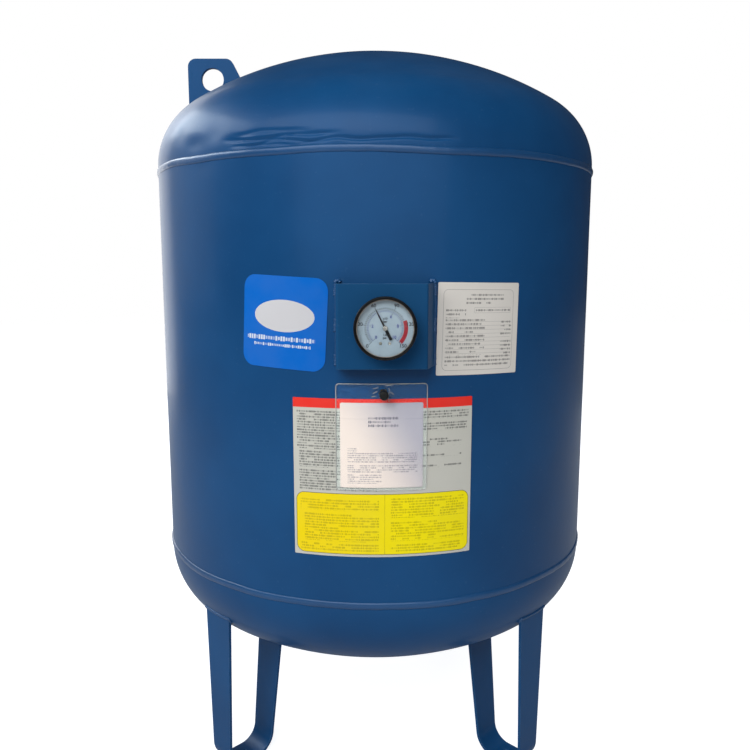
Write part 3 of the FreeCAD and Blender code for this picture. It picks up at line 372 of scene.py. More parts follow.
def make_metal(name, dark, light, roughness, metallic=1.0, grain=0.002, bump=0.00002):
    """Plated or bare metal: grain, uneven tone and bright rounded edges."""
    material, tree, shader = new_material(name, metallic=metallic)
    paint = use_group(tree, "paint", peel_size=grain, tone_size=0.03, speck_size=grain * 2)
    edge = use_group(tree, "edge", width=0.0006, patch_size=0.01)
    base = blend_colour(tree, paint["Tone"], dark, light)
    feed(tree, shader.inputs["Base Color"], blend_colour(tree, edge["Mask"], base, light))
    feed(tree, shader.inputs["Roughness"], maths(tree, "MULTIPLY_ADD", paint["Speck"], 0.15, roughness))
    add_bump(tree, shader, paint["Height"], bump, edge["Normal"])
    return material


def make_plastic(name, dark, light, roughness, grain=0.0015, bump=0.00003, gloss=0.5):
    """Moulded or lacquered dark surface, with a fine grain."""
    material, tree, shader = new_material(name, specular_ior_level=gloss)
    paint = use_group(tree, "paint", peel_size=grain, tone_size=0.02, speck_size=grain * 3)
    edge = use_group(tree, "edge", width=0.0005, patch_size=0.012)
    base = blend_colour(tree, paint["Tone"], dark, light)
    # Tan along the edges: painted highlight.
    edge_highlight = maths(tree, "MULTIPLY", edge["Mask"], 0.35)
    feed(tree, shader.inputs["Base Color"], blend_colour(tree, edge_highlight, base, colour(110, 104, 96)))
    feed(tree, shader.inputs["Roughness"], maths(tree, "MULTIPLY_ADD", paint["Tone"], 0.1, roughness))
    add_bump(tree, shader, paint["Height"], bump, edge["Normal"])
    return material


def make_glass():
    material, tree, shader = new_material("clear_glass", roughness=0.02, ior=1.45, transmission_weight=1.0)
    feed(tree, shader.inputs["Base Color"], colour(250, 252, 252))
    shadow = add_node(tree, "ShaderNodeLightPath").outputs["Is Shadow Ray"]
    feed(tree, shader.inputs["Alpha"], maths(tree, "MULTIPLY_ADD", shadow, -0.9, 1.0))
    return material


def make_dial_white():
    material, tree, shader = new_material("dial_white", roughness=0.38)
    paint = use_group(tree, "paint", peel_size=0.001, tone_size=0.03, speck_size=0.002)
    base = blend_colour(tree, paint["Tone"], colour(134, 151, 163), colour(143, 159, 171))
    feed(tree, shader.inputs["Base Color"], base)
    add_bump(tree, shader, paint["Height"], 0.00001)
    return material


def make_ink(name, tone):
    material, tree, shader = new_material(name, roughness=0.6, specular_ior_level=0.12)
    paint = use_group(tree, "paint", peel_size=0.0006, tone_size=0.004, speck_size=0.001)
    faded = tuple(min(1.0, channel * 1.3 + 0.003) for channel in tone[:3]) + (1.0,)
    feed(tree, shader.inputs["Base Color"], blend_colour(tree, paint["Tone"], tone, faded))
    add_bump(tree, shader, paint["Height"], 0.000005)
    return material


def label_place(tree):
    """The label's own place, in metres from its centre."""
    return add_node(tree, "ShaderNodeUVMap", uv_map="label").outputs["UV"]


def print_rows(tree, place, base, ink, amount, pitch, mark, blocks, half=0.28):
    """Blocks of small print over a base colour.

    A block is its left, right, low and high edge in millimetres, how full its rows are, and a seed.
    """
    for left, right, low, high, fill, seed in blocks:
        rows = use_group(tree, "rows", vector=place, row_pitch=pitch, mark_width=mark,
                         left=left * MM, right=right * MM, low=low * MM, high=high * MM,
                         fill=fill, bar_half=half, seed=seed)["Mask"]
        base = blend_colour(tree, maths(tree, "MULTIPLY", rows, amount), base, ink)
    return base


def add_line(tree, base, tone, value, middle, half, amount):
    """Draw a straight line on a label, where the value is within half its width of the middle."""
    away = maths(tree, "ABSOLUTE", maths(tree, "SUBTRACT", value, middle))
    line = maths(tree, "LESS_THAN", away, half)
    return blend_colour(tree, maths(tree, "MULTIPLY", line, amount), base, tone)


def finish_label(tree, shader, base, roughness=0.42):
    paint = use_group(tree, "paint", peel_size=0.012, tone_size=0.08, speck_size=0.003)
    soiled = maths(tree, "MULTIPLY", paint["Tone"], 0.05)
    feed(tree, shader.inputs["Base Color"], blend_colour(tree, soiled, base, colour(150, 145, 135)))
    feed(tree, shader.inputs["Roughness"], maths(tree, "MULTIPLY_ADD", paint["Tone"], 0.08, roughness))
    add_bump(tree, shader, paint["Height"], 0.00008)


# Blocks of print on the three-colour label's white sheet and on its yellow panel
SHEET_BLOCKS = (
    (-163, -12, 55, 128, 0.9, 1.0), (-159, -12, 20, 52, 0.6, 2.0), (-159, -12, -24, 16, 0.7, 3.0),
    (12, 163, 112, 128, 0.9, 4.0), (12, 160, 90, 106, 0.9, 5.0), (12, 150, 60, 76, 0.7, 6.0),
    (12, 150, 40, 46, 0.9, 7.0), (12, 150, 20, 26, 0.9, 8.0),
)
PANEL_BLOCKS = (
    (-157, -8, -62, -40, 0.8, 11.0), (-150, -8, -122, -68, 0.55, 12.0), (-157, -8, -141, -126, 0.8, 13.0),
    (14, 157, -75, -36, 0.75, 14.0), (14, 157, -120, -82, 0.6, 15.0), (14, 150, -142, -126, 0.9, 16.0),
)


def make_product_print(half_width, half_height):
    """White sheet with a red strip, a yellow rounded panel and columns of small print."""
    material, tree, shader = new_material("product_print", specular_ior_level=0.2)
    place = label_place(tree)
    across, along, _ = split_xyz(tree, place)
    base = print_rows(tree, place, colour(204, 203, 194), colour(48, 52, 56), 0.8,
                      5.0 * MM, 2.4 * MM, SHEET_BLOCKS)
    panel_low = -half_height + 5 * MM
    panel_high = -half_height + 122 * MM
    panel = use_group(tree, "panel", vector=place, centre=(0.0, (panel_low + panel_high) / 2, 0.0),
                      half_size=(half_width - 5 * MM, (panel_high - panel_low) / 2, 0.0),
                      corner=15 * MM, line_width=0.6 * MM)
    ochre = colour(120, 104, 8)
    # The yellow is darker at the panel's left than at its right: painted shade.
    yellow = blend_colour(tree, step(tree, across, -0.16, 0.1), colour(250, 222, 0), colour(255, 238, 0))
    yellow = print_rows(tree, place, yellow, ochre, 0.5, 5.2 * MM, 2.0 * MM, PANEL_BLOCKS)
    yellow = add_line(tree, yellow, ochre, across, 3 * MM, 0.4 * MM, 0.6)
    base = blend_colour(tree, panel["Inside"], base, yellow)
    base = blend_colour(tree, maths(tree, "MULTIPLY", panel["Outline"], 0.85), base, colour(88, 84, 30))
    strip = maths(tree, "GREATER_THAN", along, half_height - 18 * MM)
    finish_label(tree, shader, blend_colour(tree, strip, base, colour(242, 50, 40)))
    return material


def make_blue_print():
    """Bright blue sheet with a bare white oval and two rows of light print."""
    material, tree, shader = new_material("blue_print", specular_ior_level=0.08)
    place = label_place(tree)
    offset = vector_maths(tree, "SUBTRACT", place, (1 * MM, 12.5 * MM, 0.0))
    stretched = vector_maths(tree, "MULTIPLY", offset, (1 / (60.5 * MM), 1 / (29.5 * MM), 0.0))
    oval = maths(tree, "LESS_THAN", vector_maths(tree, "LENGTH", stretched), 1.0)
    base = blend_colour(tree, oval, colour(0, 103, 200), colour(208, 208, 212))
    light = colour(225, 232, 240)
    for pitch, mark, block in ((12.5, 5.2, (-75, 64, -36, -23.5, 1.0, 21.0)),
                               (8.0, 3.8, (-60, 56, -46, -38, 1.0, 22.0))):
        base = print_rows(tree, place, base, light, 0.9, pitch * MM, mark * MM, [block])
    finish_label(tree, shader, base, 0.36)
    return material


# Blocks of print on the rating label, its rows' pitch, and where the first ruled line lies
RATING_BLOCKS = (
    (-30, 50, 45, 66, 0.8, 31.0), (-70, -30, 20, 38, 0.6, 32.0), (-10, 66, 31, 38, 1.0, 33.0),
    (-70, 10, -48, 20, 0.55, 34.0), (45, 70, -48, 16, 0.7, 35.0), (-70, 70, -70, -48, 0.85, 36.0),
)
RATING_PITCH = 7.3 * MM
RULED_TOP = 20 * MM


def make_rating_print(half_width, half_height):
    """White sheet with a thin rounded border, ruled lines and rows of grey print."""
    material, tree, shader = new_material("rating_print", specular_ior_level=0.2)
    place = label_place(tree)
    across, along, _ = split_xyz(tree, place)
    ink = colour(96, 94, 92)
    base = print_rows(tree, place, colour(228, 223, 216), ink, 0.9, RATING_PITCH, 1.8 * MM,
                      RATING_BLOCKS, 0.19)
    in_row = maths(tree, "DIVIDE", maths(tree, "SUBTRACT", RULED_TOP, along), RATING_PITCH)
    ruled = maths(tree, "ABSOLUTE", maths(tree, "SUBTRACT", maths(tree, "FRACT", in_row), 0.9))
    ruled = maths(tree, "MULTIPLY", maths(tree, "LESS_THAN", ruled, 0.035), 0.5)
    for limit in (maths(tree, "LESS_THAN", along, 19 * MM), maths(tree, "GREATER_THAN", along, -46 * MM),
                  maths(tree, "LESS_THAN", maths(tree, "ABSOLUTE", across), 68 * MM)):
        ruled = maths(tree, "MULTIPLY", ruled, limit)
    base = blend_colour(tree, ruled, base, ink)
    border = use_group(tree, "panel", vector=place, centre=(-0.7 * MM, -2 * MM, 0.0),
                       half_size=(half_width - 11.7 * MM, half_height - 11 * MM, 0.0),
                       corner=9 * MM, line_width=0.35 * MM)
    base = blend_colour(tree, maths(tree, "MULTIPLY", border["Outline"], 0.6), base, ink)
    field = use_group(tree, "panel", vector=place, centre=(27 * MM, 34.5 * MM, 0.0),
                      half_size=(40 * MM, 5 * MM, 0.0), corner=1 * MM, line_width=0.25 * MM)
    base = blend_colour(tree, maths(tree, "MULTIPLY", field["Outline"], 0.5), base, ink)
    finish_label(tree, shader, base)
    return material


# Blocks of print on the folded sheet: its heading, then its paragraphs
HEADING_BLOCKS = (
    (-25, 30, 34, 55, 0.9, 41.0),
)
PARAGRAPH_BLOCKS = (
    (-63, -46, -13, -4, 1.0, 42.0), (-63, 66, -33, -13, 0.7, 43.0),
    (-63, 66, -52, -36, 0.7, 44.0), (-63, 0, -72, -54, 0.6, 45.0),
)


def make_paper():
    """The folded sheet: faint print, with painted shade that makes it darker and cooler towards its upper
    right than at its lower left.
    """
    material, tree, shader = new_material("paper", roughness=0.6)
    place = label_place(tree)
    across, along, _ = split_xyz(tree, place)
    # Painted shade: darker and cooler towards the upper right.
    tint = step(tree, maths(tree, "ADD", across, maths(tree, "MULTIPLY", along, 0.6)), -0.06, 0.09)
    base = blend_colour(tree, tint, colour(218, 202, 192), colour(162, 158, 168))
    ink = colour(92, 90, 104)
    base = print_rows(tree, place, base, ink, 1.0, 7.0 * MM, 2.8 * MM, HEADING_BLOCKS)
    base = print_rows(tree, place, base, ink, 0.75, 3.9 * MM, 1.7 * MM, PARAGRAPH_BLOCKS)
    base = add_line(tree, base, ink, along, 50 * MM, 0.3 * MM, 0.3)
    feed(tree, shader.inputs["Base Color"], base)
    paint = use_group(tree, "paint", peel_size=0.03, tone_size=0.05, speck_size=0.002)
    add_bump(tree, shader, paint["Height"], 0.0004)
    return material


def make_film():
    """Clear soft film, almost unseen but for its gloss."""
    material, tree, shader = new_material("clear_film", roughness=0.12, ior=1.25, transmission_weight=1.0)
    feed(tree, shader.inputs["Base Color"], colour(246, 249, 250))
    paint = use_group(tree, "paint", peel_size=0.012, tone_size=0.03, speck_size=0.004)
    add_bump(tree, shader, paint["Height"], 0.0003)
    shadow = add_node(tree, "ShaderNodeLightPath").outputs["Is Shadow Ray"]
    feed(tree, shader.inputs["Alpha"], maths(tree, "MULTIPLY_ADD", shadow, -0.92, 1.0))
    return material


def make_film_seam():
    """Welded edge of the film: milky and uneven; on the creases the same pale colour is painted highlight."""
    material, tree, shader = new_material("film_seam", roughness=0.22, specular_ior_level=0.6)
    paint = use_group(tree, "paint", peel_size=0.006, tone_size=0.05, speck_size=0.003)
    feed(tree, shader.inputs["Base Color"], colour(206, 206, 202))
    feed(tree, shader.inputs["Alpha"], maths(tree, "MULTIPLY_ADD", paint["Tone"], 0.25, 0.30))
    add_bump(tree, shader, paint["Height"], 0.0003)
    return material


MATERIALS = {
    "blue_enamel": make_enamel("blue_enamel"),
    "blue_plate": make_enamel("blue_plate", edges=True, gloss=0.2, coat=0.05),
    "blue_fold": make_enamel("blue_fold", edges=True, gloss=0.03, coat=0.0,
                             deep=colour(24, 72, 115), pale=colour(30, 80, 124)),
    "blue_weld": make_enamel("blue_weld", peel=0.0004, gloss=0.6, coat=0.35),
    "zinc_plate": make_metal("zinc_plate", colour(140, 142, 142), colour(196, 198, 196), 0.34),
    "black_rubber": make_plastic("black_rubber", colour(22, 22, 22), colour(34, 34, 33), 0.62),
    "copper": make_metal("copper", colour(150, 84, 52), colour(196, 120, 82), 0.36),
    "brass": make_metal("brass", colour(150, 120, 62), colour(198, 164, 92), 0.32),
    "chromed": make_metal("chromed", colour(170, 168, 160), colour(225, 222, 214), 0.16),
    "black_steel": make_plastic("black_steel", colour(6, 6, 7), colour(10, 9, 9), 0.24, gloss=0.25),
    "black_cap": make_plastic("black_cap", colour(12, 13, 12), colour(20, 21, 18), 0.32, gloss=0.35),
    "pointer_black": make_plastic("pointer_black", colour(6, 6, 7), colour(10, 10, 11), 0.5, gloss=0.12),
    # Tan colour of the thin ring at the gauge window: painted highlight.
    "worn_trim": make_plastic("worn_trim", colour(120, 108, 98), colour(158, 146, 134), 0.35),
    "clear_glass": make_glass(),
    "dial_white": make_dial_white(),
    "dial_ink": make_ink("dial_ink", colour(14, 15, 22)),
    "dial_blue_ink": make_ink("dial_blue_ink", colour(30, 36, 110)),
    "dial_red": make_ink("dial_red", colour(130, 16, 30)),
    "blue_print": make_blue_print(),
    "paper": make_paper(),
    "clear_film": make_film(),
    "film_seam": make_film_seam(),
}


# Mesh pieces
def new_piece(name, points, faces, material, slot, body="root", replaces=(), smooth=40):
    """A finished piece from points in the row frame; smooth is the angle kept smooth, in degrees."""
    mesh = bpy.data.meshes.new(name)
    mesh.from_pydata([tuple(point) for point in points], [], faces)
    mesh.update()
    piece = bpy.data.objects.new(name, mesh)
    bpy.context.scene.collection.objects.link(piece)
    return settle(piece, material, body, replaces, smooth)


def settle(piece, material, body="root", replaces=(), smooth=40):
    """Shade a piece, give it its material, and put it on its body."""
    mesh = piece.data
    mesh.shade_smooth()
    mesh.set_sharp_from_angle(angle=math.radians(smooth))
    mesh.materials.clear()
    mesh.materials.append(MATERIALS[material] if isinstance(material, str) else material)
    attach(piece, body)
    if replaces:
        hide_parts(*replaces)
    return piece


def on_tank(radius, azimuth, height):
    """A point by its azimuth from the front, positive to the right."""
    return Vector((radius * math.sin(azimuth), -radius * math.cos(azimuth), height))


def on_front(radius, turn, forward):
    """A point about the gauge's axis, which runs forward from the tank's own."""
    return Vector((-radius * math.sin(turn), -forward, GAUGE_CENTRE + radius * math.cos(turn)))


def on_valve(radius, turn, forward):
    return on_front(radius, turn, forward) + Vector((0.0, 0.0, VALVE_CENTRE - GAUGE_CENTRE))


def revolve(profile, segments, shift=None, place=on_tank):
    """Closed ring of faces from a closed profile of (radius, height, is_outer)."""
    points = []
    for index in range(segments):
        azimuth = 2 * math.pi * index / segments
        for radius, height, is_outer in profile:
            change = shift(azimuth, height) if shift and is_outer else 0.0
            points.append(place(radius + change, azimuth, height))
    count = len(profile)
    faces = []
    for index in range(segments):
        here, there = index * count, (index + 1) % segments * count
        for number in range(count):
            after = (number + 1) % count
            faces.append((here + number, there + number, there + after, here + after))
    return points, faces


def spread(start, end, count):
    """Evenly spread values from start to end, both kept."""
    return [start + (end - start) * index / (count - 1) for index in range(count)]


# Dished heads
KNUCKLE_CENTRE = SHELL_RADIUS - KNUCKLE_RADIUS
CENTRE_DISTANCE = CROWN_RADIUS - KNUCKLE_RADIUS
CROWN_CENTRE = SKIRT - math.sqrt(CENTRE_DISTANCE ** 2 - KNUCKLE_CENTRE ** 2)
LIP_RADIUS = SHELL_RADIUS - PLATE - LAP_GAP


def head_height(radius, depth=0.0):
    """Height of a head's face above its rim; depth is measured into the plate."""
    limit = (CROWN_RADIUS - depth) * KNUCKLE_CENTRE / CENTRE_DISTANCE
    if radius <= limit:
        return CROWN_CENTRE + math.sqrt((CROWN_RADIUS - depth) ** 2 - radius ** 2)
    reach = (KNUCKLE_RADIUS - depth) ** 2 - (radius - KNUCKLE_CENTRE) ** 2
    return SKIRT + math.sqrt(max(reach, 0.0))


def head_face(opening, depth, count):
    """Points of a head's face from its skirt to its opening, closer together near the skirt."""
    crown = CROWN_RADIUS - depth
    knuckle = KNUCKLE_RADIUS - depth
    tangent_angle = math.asin(KNUCKLE_CENTRE / CENTRE_DISTANCE)
    knuckle_sweep = math.pi / 2 - tangent_angle
    crown_sweep = tangent_angle - math.asin(opening / crown)
    total = knuckle * knuckle_sweep + crown * crown_sweep
    points = []
    for index in range(count):
        along = total * (index / (count - 1)) ** 1.5
        if along <= knuckle * knuckle_sweep:
            angle = along / knuckle
            points.append((KNUCKLE_CENTRE + knuckle * math.cos(angle), SKIRT + knuckle * math.sin(angle)))
        else:
            angle = tangent_angle - (along - knuckle * knuckle_sweep) / crown
            points.append((crown * math.sin(angle), CROWN_CENTRE + crown * math.cos(angle)))
    return points


# Dents: azimuth in degrees, height, half width in degrees, half height, depth
DENTS = (
    (-46, UPPER_RIM + 0.030, 4.0, 0.016, 0.0026),
    (-39, UPPER_RIM + 0.042, 3.0, 0.022, 0.0020),
    (-33, UPPER_RIM + 0.026, 2.6, 0.014, 0.0016),
    (-52, UPPER_RIM + 0.050, 2.4, 0.020, 0.0012),
    (-43, UPPER_RIM - 0.014, 3.6, 0.010, 0.0012),
)

# Wavering hammer marks near the upper rim: seed, height, start and end in degrees, depth
GROOVES = (
    (0.4, UPPER_RIM + 0.027, -36, -8, 0.0026),
    (2.7, UPPER_RIM + 0.019, -30, 16, 0.0026),
    (5.1, UPPER_RIM + 0.037, -34, -14, 0.0018),
    (9.3, UPPER_RIM + 0.012, -34, -12, 0.0020),
    (7.7, UPPER_RIM - 0.014, -29, -19, 0.0006),
)


def dents(azimuth, height):
    """Small inward change of the plate: rolling waves, and dents left of the front near the upper rim."""
    place = on_tank(SHELL_RADIUS, azimuth, height)
    change = 0.0007 * (noise.noise(place * 5.0) - 0.6)
    for at, level, half_turn, half_height, depth in DENTS:
        turn = (azimuth - math.radians(at) + math.pi) % (2 * math.pi) - math.pi
        away = (turn / math.radians(half_turn)) ** 2 + ((height - level) / half_height) ** 2
        if away < 9:
            change -= depth * math.exp(-away)
    degrees = math.degrees((azimuth + math.pi) % (2 * math.pi) - math.pi)
    for seed, level, start, end, depth in GROOVES:
        if start < degrees < end and abs(height - level) < 0.03:
            fade = min(1.0, (degrees - start) / 4, (end - degrees) / 4)
            wander = 0.008 * noise.noise(Vector((degrees * 0.16, seed, 0.3)))
            change -= depth * fade * math.exp(-((height - level - wander) / 0.0032) ** 2)
    return change


def make_shell_skin():
    outer = [(SHELL_RADIUS, height, True) for height in spread(LOWER_RIM, UPPER_RIM, 84)]
    inner = [(SHELL_RADIUS - PLATE, height, False) for height in spread(UPPER_RIM, LOWER_RIM, 8)]
    points, faces = revolve(outer + inner, RING_SEGMENTS, dents)
    new_piece("shell_plate", points, faces, "blue_enamel", "blue_enamel", replaces=["shell"])


def make_head_skin(name, node, opening, upper):
    sign = 1 if upper else -1
    rim = UPPER_RIM if upper else LOWER_RIM
    step_height = SHELL_RADIUS - LIP_RADIUS
    fold = (math.hypot(step_height, JOGGLE) - JOGGLE) / step_height * PLATE
    outer = [(LIP_RADIUS, -LAP), (LIP_RADIUS, 0.0), (SHELL_RADIUS, JOGGLE)]
    outer += [(SHELL_RADIUS, height) for height in spread(JOGGLE, SKIRT, 4)[1:-1]]
    outer += head_face(opening, 0.0, 104)
    inner = head_face(opening, PLATE, 40)[::-1]
    inner += [(SHELL_RADIUS - PLATE, JOGGLE + fold), (LIP_RADIUS - PLATE, fold), (LIP_RADIUS - PLATE, -LAP)]
    profile = [(radius, rim + height * sign, height > 0) for radius, height in outer]
    profile += [(radius, rim + height * sign, False) for radius, height in inner]
    if not upper:
        profile.reverse()
    points, faces = revolve(profile, RING_SEGMENTS, dents)
    new_piece(name, points, faces, "blue_enamel", "blue_enamel", replaces=[node])


# Weld beads
def make_bead_tree():
    """A rippled bead of weld along the piece's edges."""
    tree, given, out = new_group(
        "weld_bead",
        [("Geometry", GEOMETRY, None), ("Half Width", FLOAT, 0.007), ("Half Height", FLOAT, 0.002),
         ("Ripple Pitch", FLOAT, 0.0035), ("Ripple Rise", FLOAT, 0.0002), ("Lump Size", FLOAT, 0.03),
         ("Lump Rise", FLOAT, 0.0006), ("Segment", FLOAT, 0.0012), ("Seed", FLOAT, 0.0),
         ("Material", MATERIAL, None)],
        [("Geometry", GEOMETRY)], "GeometryNodeTree")
    curve = add_node(tree, "GeometryNodeMeshToCurve", {"Mesh": given["Geometry"]}).outputs[0]
    curve = add_node(tree, "GeometryNodeResampleCurve", {"Curve": curve, "Length": given["Segment"]},
                     mode="LENGTH").outputs[0]
    curve = add_node(tree, "GeometryNodeSetCurveNormal", {"Curve": curve}, mode="Z_UP").outputs[0]
    along = add_node(tree, "GeometryNodeSplineParameter").outputs["Length"]
    capture = add_node(tree, "GeometryNodeCaptureAttribute", {"Geometry": curve}, domain="POINT")
    capture.capture_items.new("FLOAT", "Along")
    feed(tree, capture.inputs["Along"], along)
    ring = add_node(tree, "GeometryNodeCurvePrimitiveCircle", {"Resolution": 12, "Radius": 1.0},
                    mode="RADIUS").outputs["Curve"]
    size = join_xyz(tree, given["Half Height"], given["Half Width"], 1.0)
    ring = add_node(tree, "GeometryNodeTransform", {"Geometry": ring, "Scale": size}).outputs[0]
    bead = add_node(tree, "GeometryNodeCurveToMesh",
                    {"Curve": capture.outputs["Geometry"], "Profile Curve": ring,
                     "Fill Caps": True}).outputs[0]
    turns = maths(tree, "MULTIPLY", maths(tree, "DIVIDE", capture.outputs["Along"], given["Ripple Pitch"]),
                  2 * math.pi)
    ripple = maths(tree, "MULTIPLY", maths(tree, "SINE", turns), given["Ripple Rise"])
    place = add_node(tree, "GeometryNodeInputPosition").outputs[0]
    place = vector_maths(tree, "ADD", place, join_xyz(tree, given["Seed"], given["Seed"]))
    lump = noise_value(tree, place, maths(tree, "DIVIDE", 1.0, given["Lump Size"]), 2.0)
    lump = maths(tree, "MULTIPLY", maths(tree, "SUBTRACT", lump, 0.5), given["Lump Rise"])
    normal = add_node(tree, "GeometryNodeInputNormal").outputs[0]
    offset = scaled(tree, normal, maths(tree, "ADD", ripple, lump))
    bead = add_node(tree, "GeometryNodeSetPosition", {"Geometry": bead, "Offset": offset}).outputs[0]
    bead = add_node(tree, "GeometryNodeRealizeInstances", {"Geometry": bead}).outputs[0]
    bead = add_node(tree, "GeometryNodeSetMaterial",
                    {"Geometry": bead, "Material": given["Material"]}).outputs[0]
    feed(tree, out["Geometry"], bead)
    return tree


def make_bar_ring_tree():
    """Small bars in a ring about the front-facing axis, each turned to point outwards."""
    tree, given, out = new_group(
        "bar_ring",
        [("Geometry", GEOMETRY, None), ("Count", INTEGER, 12), ("Radius", FLOAT, 0.03),
         ("Length", FLOAT, 0.003), ("Width", FLOAT, 0.0003), ("Depth", FLOAT, 0.0001),
         ("Start", FLOAT, 0.0), ("Step", FLOAT, 0.1), ("Centre", VECTOR, None),
         ("Material", MATERIAL, None)],
        [("Geometry", GEOMETRY)], "GeometryNodeTree")
    line = add_node(tree, "GeometryNodeMeshLine", {"Count": given["Count"], "Offset": (0.0, 0.0, 0.0)},
                    mode="OFFSET").outputs[0]
    index = add_node(tree, "GeometryNodeInputIndex").outputs[0]
    angle = maths(tree, "MULTIPLY_ADD", index, given["Step"], given["Start"])
    across = maths(tree, "MULTIPLY", maths(tree, "SINE", angle), given["Radius"])
    up = maths(tree, "MULTIPLY", maths(tree, "COSINE", angle), given["Radius"])
    place = vector_maths(tree, "ADD", join_xyz(tree, across, 0.0, up), given["Centre"])
    points = add_node(tree, "GeometryNodeSetPosition", {"Geometry": line, "Position": place}).outputs[0]
    size = join_xyz(tree, given["Width"], given["Depth"], given["Length"])
    bar = add_node(tree, "GeometryNodeMeshCube", {"Size": size}).outputs["Mesh"]
    turn = join_xyz(tree, 0.0, angle, 0.0)
    turn = add_node(tree, "FunctionNodeEulerToRotation", {0: turn}).outputs[0]
    ring = add_node(tree, "GeometryNodeInstanceOnPoints",
                    {"Points": points, "Instance": bar, "Rotation": turn}).outputs[0]
    ring = add_node(tree, "GeometryNodeRealizeInstances", {"Geometry": ring}).outputs[0]
    ring = add_node(tree, "GeometryNodeSetMaterial",
                    {"Geometry": ring, "Material": given["Material"]}).outputs[0]
    feed(tree, out["Geometry"], ring)
    return tree


def run_tree(piece, tree, **feeds):
    """Shape a piece with a tree's named inputs and keep the result as a plain mesh."""
    values = {socket_name(label): value for label, value in feeds.items()}
    modifier = piece.modifiers.new("shape", "NODES")
    modifier.node_group = tree
    for item in tree.interface.items_tree:
        if item.item_type == "SOCKET" and item.in_out == "INPUT" and item.name in values:
            modifier[item.identifier] = values[item.name]
    bpy.context.view_layer.update()
    graph = bpy.context.evaluated_depsgraph_get()
    mesh = bpy.data.meshes.new_from_object(piece.evaluated_get(graph), depsgraph=graph)
    mesh.name = piece.name
    piece.modifiers.remove(modifier)
    piece.data = mesh


BEAD_TREE = make_bead_tree()
BAR_RING_TREE = make_bar_ring_tree()


def new_path(name, paths):
    """An object of plain edges; each path is (points, is_closed)."""
    points, edges = [], []
    for path, is_closed in paths:
        first = len(points)
        points += [tuple(point) for point in path]
        edges += [(first + number, first + number + 1) for number in range(len(path) - 1)]
        if is_closed:
            edges.append((len(points) - 1, first))
    mesh = bpy.data.meshes.new(name)
    mesh.from_pydata(points, edges, [])
    piece = bpy.data.objects.new(name, mesh)
    bpy.context.scene.collection.objects.link(piece)
    return piece


def weld(name, paths, half_width, half_height, seed, replaces=(), **more):
    """Beads of weld along paths; more holds the bead tree's other inputs."""
    piece = new_path(name, paths)
    run_tree(piece, BEAD_TREE, half_width=half_width, half_height=half_height, seed=float(seed),
             material=MATERIALS["blue_weld"], **more)
    settle(piece, "blue_weld", replaces=replaces, smooth=70)


def ring_path(radius, height, count=720, wander=0.0, seed=0.0):
    """A level ring that wanders up and down a little, as a bead does."""
    points = []
    for index in range(count):
        azimuth = 2 * math.pi * index / count
        place = on_tank(radius, azimuth, height)
        drift = wander * noise.noise(place * 9.0 + Vector((seed, 0.0, 0.0)))
        points.append(on_tank(radius + dents(azimuth, height), azimuth, height + drift))
    return points, True


def make_seam_beads():
    """One bead over each rim's joggled groove."""
    for name, node, rim, sign in (("upper_seam_bead", "upper_seam_weld", UPPER_RIM, 1),
                                  ("lower_seam_bead", "lower_seam_weld", LOWER_RIM, -1)):
        path = ring_path(SHELL_RADIUS - 0.0004, rim + 0.003 * sign, wander=0.0026, seed=rim)
        weld(name, [path], 0.0074, 0.0033, rim, [node], ripple_pitch=0.005, ripple_rise=0.00018,
             lump_size=0.034, lump_rise=0.0018, segment=0.0022)


make_shell_skin()
make_head_skin("upper_head_plate", "upper_head", 0.032, True)
make_head_skin("lower_head_plate", "lower_head", 0.080, False)
make_seam_beads()


def leg_turns():
    """Turn of each leg's outward direction about the tank's axis, from +X."""
    return [FRAME_TURN + 2 * math.pi / LEG_COUNT * (number + 0.5) - math.pi / 2
            for number in range(LEG_COUNT)]


def turned(outward, sideways, height, turn):
    cosine, sine = math.cos(turn), math.sin(turn)
    return Vector((outward * cosine - sideways * sine, outward * sine + sideways * cosine, height))


def on_lower_head(outward, sideways, turn):
    radius = min(math.hypot(outward, sideways), SHELL_RADIUS - 0.0005)
    return turned(outward, sideways, LOWER_RIM - head_height(radius), turn)


def strap_loop(near, far, half, turn):
    """Loop round one upright of a leg where it meets the lower head."""
    corners = [(near, -half), (near, half), (far, half), (far, -half)]
    points = []
    for number, (outward, sideways) in enumerate(corners):
        next_outward, next_sideways = corners[(number + 1) % 4]
        count = 24 if number % 2 == 0 else 3
        for index in range(count):
            part = index / count
            points.append(on_lower_head(outward + (next_outward - outward) * part,
                                        sideways + (next_sideways - sideways) * part, turn))
    return points, True


def strap_half(level):
    """Half width of a leg's strap at a height above the floor."""
    return (LEG_FOOT_WIDTH + (LEG_TOP_WIDTH - LEG_FOOT_WIDTH) * level / LOWER_RIM) / 2


# The rough fillets round the legs and the lug
FILLET = {"ripple_pitch": 0.004, "ripple_rise": 0.0003, "lump_size": 0.014, "lump_rise": 0.0018,
          "segment": 0.0014}


def make_leg_welds():
    """A fillet round both uprights of each leg; the inner one leans, so its place is found in steps."""
    for number, turn in enumerate(leg_turns()):
        half = strap_half(LOWER_RIM - head_height(LEG_OUTER))
        outer_loop = strap_loop(LEG_OUTER - LEG_PLATE, LEG_OUTER, half, turn)
        inner = LEG_INNER
        for _ in range(6):
            level = LOWER_RIM - head_height(inner)
            inner = LEG_INNER - LEG_LEAN * level
        inner_loop = strap_loop(inner, inner + LEG_PLATE, strap_half(level), turn)
        weld(f"leg_{number + 1}_welds", [outer_loop, inner_loop], 0.0034, 0.0034, number, **FILLET)


def make_lug_welds():
    turn = FRAME_TURN - math.pi
    sides = []
    for sign in (1, -1):
        path = []
        for outward in spread(LUG_OUTER - LUG_BASE, LUG_OUTER, 30):
            radius = math.hypot(outward, LUG_HALF)
            path.append(turned(outward, LUG_HALF * sign, UPPER_RIM + head_height(radius), turn))
        sides.append(path)
    weld("lug_welds", [(sides[0] + sides[1][::-1], True)], 0.0036, 0.0036, 9, **FILLET)


